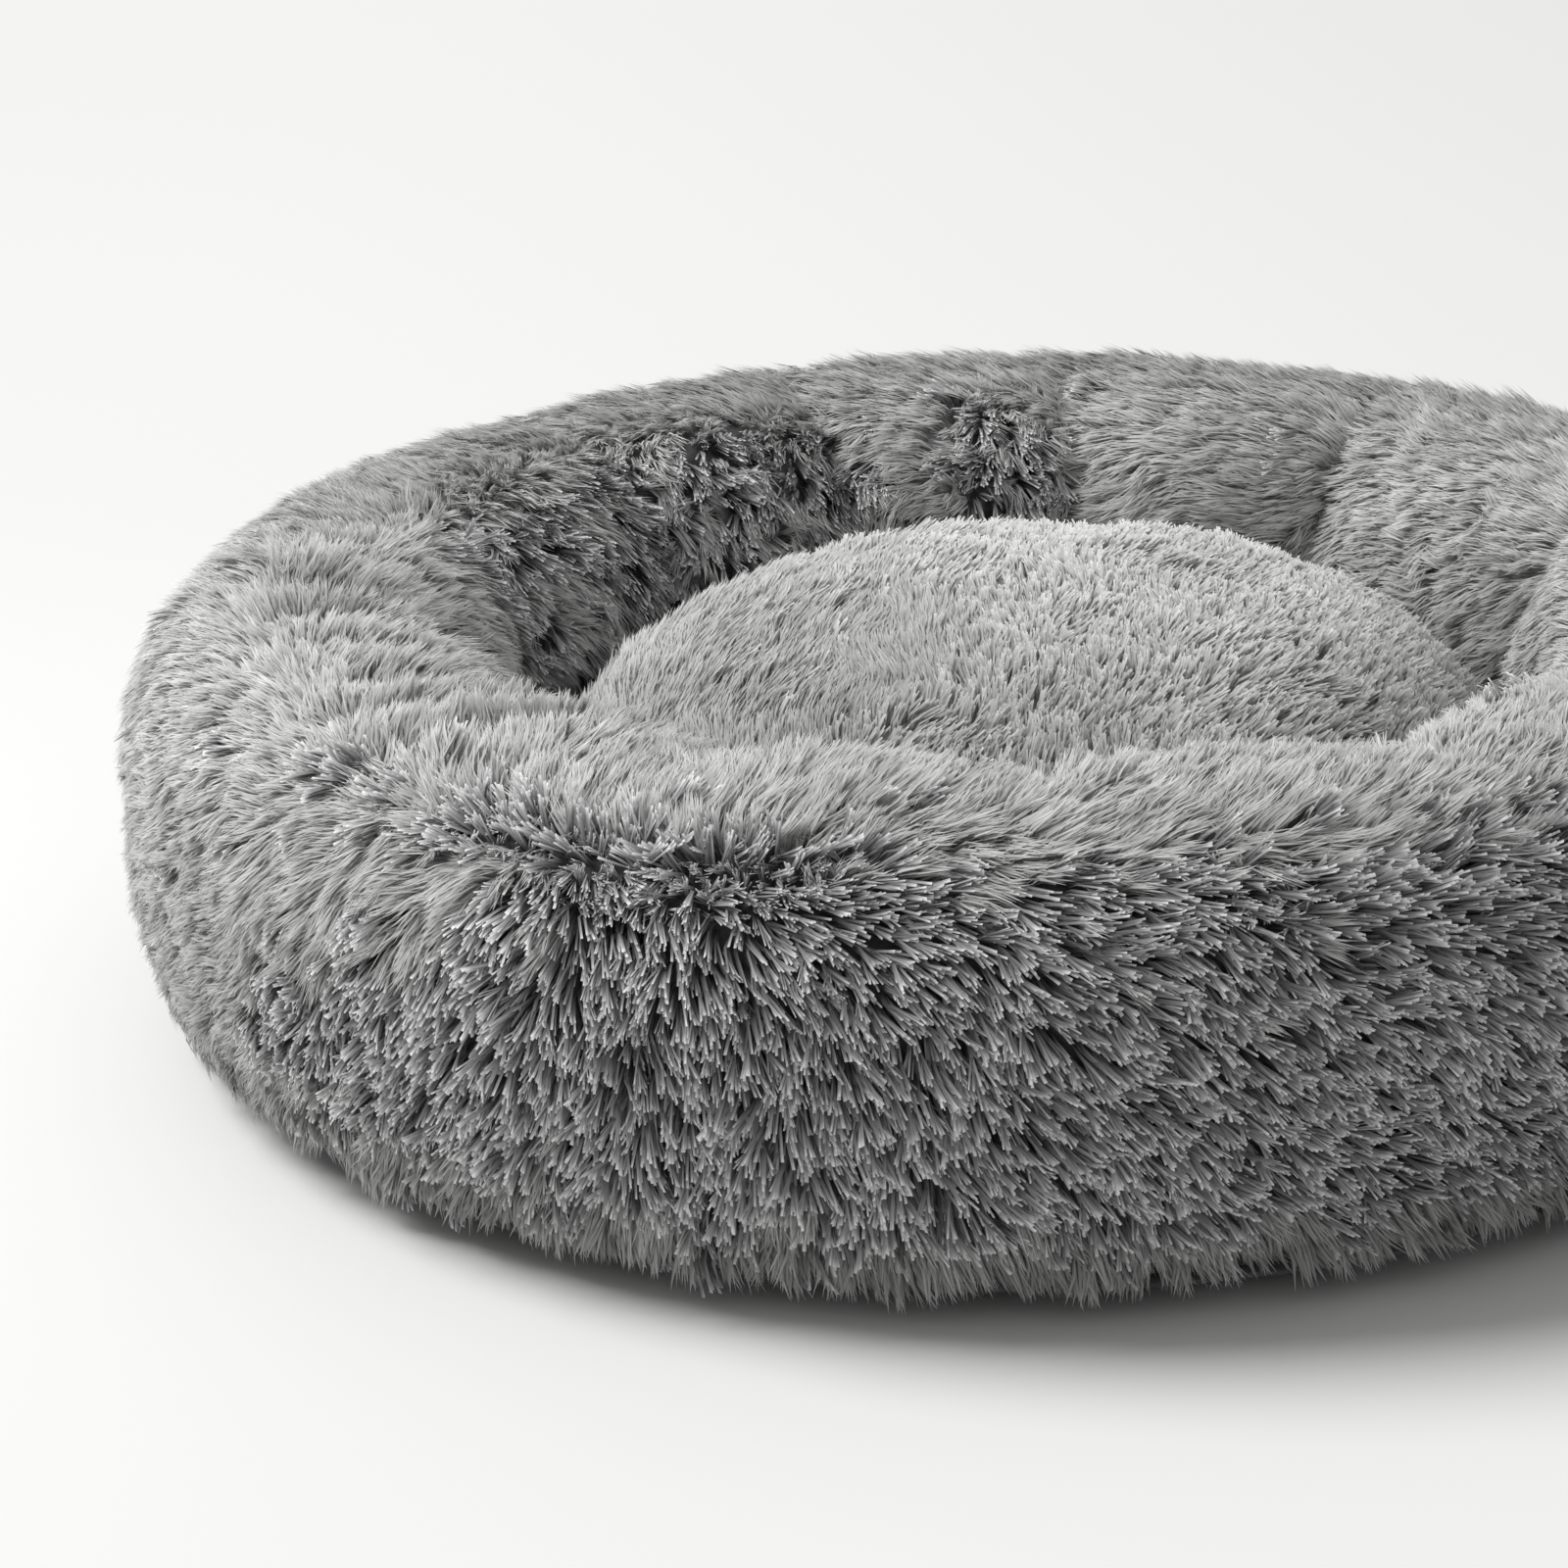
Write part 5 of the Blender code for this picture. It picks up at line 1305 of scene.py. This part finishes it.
def coilTree():
    # a straight wound wire, then bent round the bed beside the tape's edge
    tree, given = newTree("woundCoil", {
        "Float": ("Turns", "Length", "Winding Radius", "Wire Radius", "Start Angle", "Line Radius",
                  "Line Height", "Offset", "Spread", "Spread From", "Spread To", "Out"),
        "Int": ("Turn Points",), "Material": ("Material",)})
    spiral = addNode(tree, "GeometryNodeCurveSpiral", {
        "Resolution": given["Turn Points"], "Rotations": given["Turns"], "Height": given["Length"],
        "Start Radius": given["Winding Radius"], "End Radius": given["Winding Radius"]})
    wire = addNode(tree, "GeometryNodeCurvePrimitiveCircle", {"Resolution": 5, "Radius": given["Wire Radius"]},
                   mode="RADIUS")
    tube = addNode(tree, "GeometryNodeCurveToMesh", {
        "Curve": spiral, "Profile Curve": wire, "Fill Caps": True})
    place = addNode(tree, "GeometryNodeInputPosition")
    parts = addNode(tree, "ShaderNodeSeparateXYZ", {0: place}).outputs
    spread = addNode(tree, "ShaderNodeMapRange", {
        "Value": parts["Z"], "From Min": given["Spread From"], "From Max": given["Spread To"],
        "To Min": given["Spread"], "To Max": given["Offset"]}, interpolation_type="SMOOTHSTEP")
    across = addNode(tree, "ShaderNodeMath", {0: parts["X"], 1: spread}, operation="ADD")
    outward = addNode(tree, "ShaderNodeMath", {0: parts["Y"], 1: given["Out"]}, operation="ADD")
    section = []
    for label, along, out in zip(("Line Radius", "Line Height"), zipLine["along"], zipLine["out"]):
        level = given[label]
        for value, share in ((across, along), (outward, out)):
            level = addNode(tree, "ShaderNodeMath", {0: value, 1: share, 2: level},
                            operation="MULTIPLY_ADD")
        section.append(level)
    turn = addNode(tree, "ShaderNodeMath", {0: parts["Z"], 1: given["Line Radius"]}, operation="DIVIDE")
    turn = addNode(tree, "ShaderNodeMath", {0: turn, 1: given["Start Angle"]}, operation="ADD")
    bent = {"Z": section[1]}
    for axis, operation in (("X", "COSINE"), ("Y", "SINE")):
        share = addNode(tree, "ShaderNodeMath", {0: turn}, operation=operation)
        bent[axis] = addNode(tree, "ShaderNodeMath", {0: section[0], 1: share}, operation="MULTIPLY")
    bent = addNode(tree, "ShaderNodeCombineXYZ", bent)
    moved = addNode(tree, "GeometryNodeSetPosition", {"Geometry": tube, "Position": bent})
    real = addNode(tree, "GeometryNodeRealizeInstances", {"Geometry": moved})
    return closeTree(tree, real, given["Material"])


def stitchTree():
    # straight stitches, a fixed step apart on an arc round the bed
    tree, given = newTree("stitches", {
        "Float": ("Radius", "Height", "Start Angle", "Sweep", "Spacing", "Stitch Length", "Stitch Radius"),
        "Material": ("Material",)})
    arc = addNode(tree, "GeometryNodeCurveArc", {
        "Resolution": 180, "Radius": given["Radius"], "Start Angle": given["Start Angle"],
        "Sweep Angle": given["Sweep"]}, mode="RADIUS")
    spots = addNode(tree, "GeometryNodeCurveToPoints", {"Curve": arc, "Length": given["Spacing"]},
                    mode="LENGTH")
    ball = addNode(tree, "GeometryNodeMeshUVSphere", {"Segments": 6, "Rings": 4, "Radius": 1.0})
    half = addNode(tree, "ShaderNodeMath", {0: given["Stitch Length"], 1: 0.5}, operation="MULTIPLY")
    size = addNode(tree, "ShaderNodeCombineXYZ", {
        "X": given["Stitch Radius"], "Y": given["Stitch Radius"], "Z": half})
    turn = addNode(tree, "FunctionNodeAlignRotationToVector", {"Vector": spots.outputs["Tangent"]}, axis="Z")
    placed = addNode(tree, "GeometryNodeInstanceOnPoints", {
        "Points": spots, "Instance": ball, "Rotation": turn, "Scale": size})
    lift = addNode(tree, "ShaderNodeCombineXYZ", {"Z": given["Height"]})
    real = addNode(tree, "GeometryNodeRealizeInstances", {"Geometry": placed})
    raised = addNode(tree, "GeometryNodeSetPosition", {"Geometry": real, "Offset": lift})
    return closeTree(tree, raised, given["Material"])


def makeStitches(name, tree, across, outward, start, end, slot):
    radius, height = onZip(across, outward)
    row = grow(name, tree, {
        "Radius": radius, "Height": height, "Start Angle": math.radians(start + zipLine["stitchInset"]),
        "Sweep": math.radians(end - start - 2 * zipLine["stitchInset"]), "Spacing": zipLine["stitchSpacing"],
        "Stitch Length": zipLine["stitchLength"], "Stitch Radius": zipLine["stitchRadius"],
        "Material": thread})
    finishPiece(row, bed, slot)


def makeCast(node, name, width, body):
    # a CAD piece of metal with its edges rounded, as a casting or stamping has them
    edgeAngle = math.radians(35)
    mesh = mendMesh(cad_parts[node].data.copy(), merge=0.002 * mm, flatten=math.radians(2))
    mesh.materials.clear()
    piece = linkObject(name, mesh, paintedZinc)
    bevel = piece.modifiers.new("rounded", "BEVEL")
    bevel.width = width
    bevel.segments = 2
    bevel.limit_method = "ANGLE"
    bevel.angle_limit = edgeAngle
    bevel.harden_normals = False
    mesh = plainMesh(piece, name).data
    mesh.polygons.foreach_set("use_smooth", [True] * len(mesh.polygons))
    mesh.set_sharp_from_angle(angle=edgeAngle)
    finishPiece(piece, body, "zip_metal", node)


def makeZip():
    line = zipLine
    stitches, coils = stitchTree(), coilTree()
    radius, height = line["centre"]
    length = math.radians(line["coilEnd"] - line["throat"]) * radius
    gap = math.degrees(line["seamGap"] / radius)
    start, end = line["end"] + gap, 360 + line["start"] - gap
    for side, name in ((1, "upper"), (-1, "lower")):
        tape = makeStrip(f"zip_tape_{name}_cloth", side * line["tapeSplit"], side * line["tapeWidth"],
                         line["tapeThickness"], line["start"], line["end"], zipTape, line["tapeBead"])
        finishPiece(tape, bed, "zip_tape", f"zip_tape_{name}")
        makeStitches(f"zip_stitches_{name}", stitches, side * line["stitchRows"], line["tapeThickness"] / 2,
                     line["start"], line["end"], "zip_tape")
        coil = grow(f"zip_coil_{name}_wound", coils, {
            "Turns": length / line["pitch"], "Length": length,
            "Winding Radius": line["coilRadius"] - line["wireRadius"], "Wire Radius": line["wireRadius"],
            "Start Angle": math.radians(line["throat"]), "Line Radius": radius, "Line Height": height,
            "Offset": side * line["coilOffset"], "Spread": side * line["coilSpread"],
            "Spread From": line["spreadFrom"],
            "Spread To": math.radians(line["closed"] - line["throat"]) * radius,
            "Out": line["coilOut"], "Turn Points": line["turnPoints"], "Material": coilNylon})
        coil.data.polygons.foreach_set("use_smooth", [True] * len(coil.data.polygons))
        finishPiece(coil, bed, "zip_coil", f"zip_coil_{name}")
        makeStitches(f"binding_stitches_{name}", stitches, side * line["stitchRows"],
                     line["bindingThickness"] / 2, start, end, "binding_webbing")
    binding = makeStrip("seam_binding_webbing", -line["tapeWidth"], line["tapeWidth"],
                        line["bindingThickness"], start, end, webbing)
    finishPiece(binding, bed, "binding_webbing", "seam_binding")
    for node, (name, width, body) in cast.items():
        makeCast(node, name, width, body)


makeBase()
print("base cloth made")
makeZip()
print("zip and binding made")


# Cushion's underside and stuffing

pad = {
    "columns": 216, "clothRadius": 0.195, "seam": 0.0555, "floor": 2.1 * mm, "wall": 1.0 * mm,
    "tuck": 12 * mm, "power": 2.6, "footRows": 14, "lip": (1.6 * mm, 0.9 * mm),
    "flatShares": (0.92, 0.75, 0.5, 0.25, 0.0),
    # the cloth is a little fuller than its seam, so it puckers there: waves round it, and over which heights
    "puckers": ((64, 0, 1.0), (41, 2, 0.6)), "puckerDepth": 0.8 * mm, "puckerSpan": (0.012, 0.045),
    "fillColumns": 144, "fillRadius": 0.1905, "fillFoot": 1.5 * mm, "fillCrown": 0.172 - 0.0095,
    "fillFloor": 3.6 * mm, "fillRows": 22, "fillFootRows": 10,
}


def footProfile(radius, lowest, count):
    # from the seam down to the flat that the cushion lies on
    drop = pad["seam"] - lowest
    fullDrop = drop + pad["tuck"]
    share = 2 / pad["power"]
    last = math.asin((drop / fullDrop) ** (pad["power"] / 2))
    turns = [last * index / (count - 1) for index in range(count)]
    return [(radius * math.cos(a) ** share, pad["seam"] - fullDrop * math.sin(a) ** share) for a in turns]


def makePad():
    foot = footProfile(pad["clothRadius"], pad["floor"], pad["footRows"])
    flat = [(foot[-1][0] * share, pad["floor"]) for share in pad["flatShares"]]
    lip = (pad["clothRadius"] + pad["lip"][0], pad["seam"] + pad["lip"][1])
    points = turnedPoints([lip, *foot, *flat], pad["columns"])
    around = np.linspace(0, 2 * math.pi, pad["columns"], endpoint=False)
    pucker = sum(share * (np.sin(around * count + turn) - 1) for count, turn, share in pad["puckers"])
    sink = pad["puckerDepth"] * pucker * ease(points[..., 2], *pad["puckerSpan"])
    points[..., 0] += sink * np.cos(around)
    points[..., 1] += sink * np.sin(around)
    mesh = mendMesh(gridMesh("cushion_underside_cloth", points, closed=True))
    under = linkObject("cushion_underside_cloth", mesh, plainCloth)
    finishPiece(thicken(under, pad["wall"]), loose, "underside_cloth", "cushion_underside")
    rise = pad["fillCrown"] - pad["seam"]
    share = 2 / pad["power"]
    turns = np.radians(np.linspace(90, 0, pad["fillRows"]))[1:]
    dome = [(0.0, pad["fillCrown"])] + [
        (pad["fillRadius"] * math.cos(a) ** share, pad["seam"] + rise * math.sin(a) ** share) for a in turns]
    foot = footProfile(pad["fillRadius"] - pad["fillFoot"], pad["fillFloor"], pad["fillFootRows"])[1:]
    points = turnedPoints([*dome, *foot, (0.0, pad["fillFloor"])], pad["fillColumns"])
    mesh = mendMesh(gridMesh("cushion_stuffing", points, closed=True))
    stuffing = linkObject("cushion_stuffing", mesh, looseFill)
    finishPiece(stuffing, loose, "polyester_fill", "cushion_fill")


makePad()
print("cushion underside and stuffing made")

bpy.context.scene.view_settings.view_transform = "Standard"
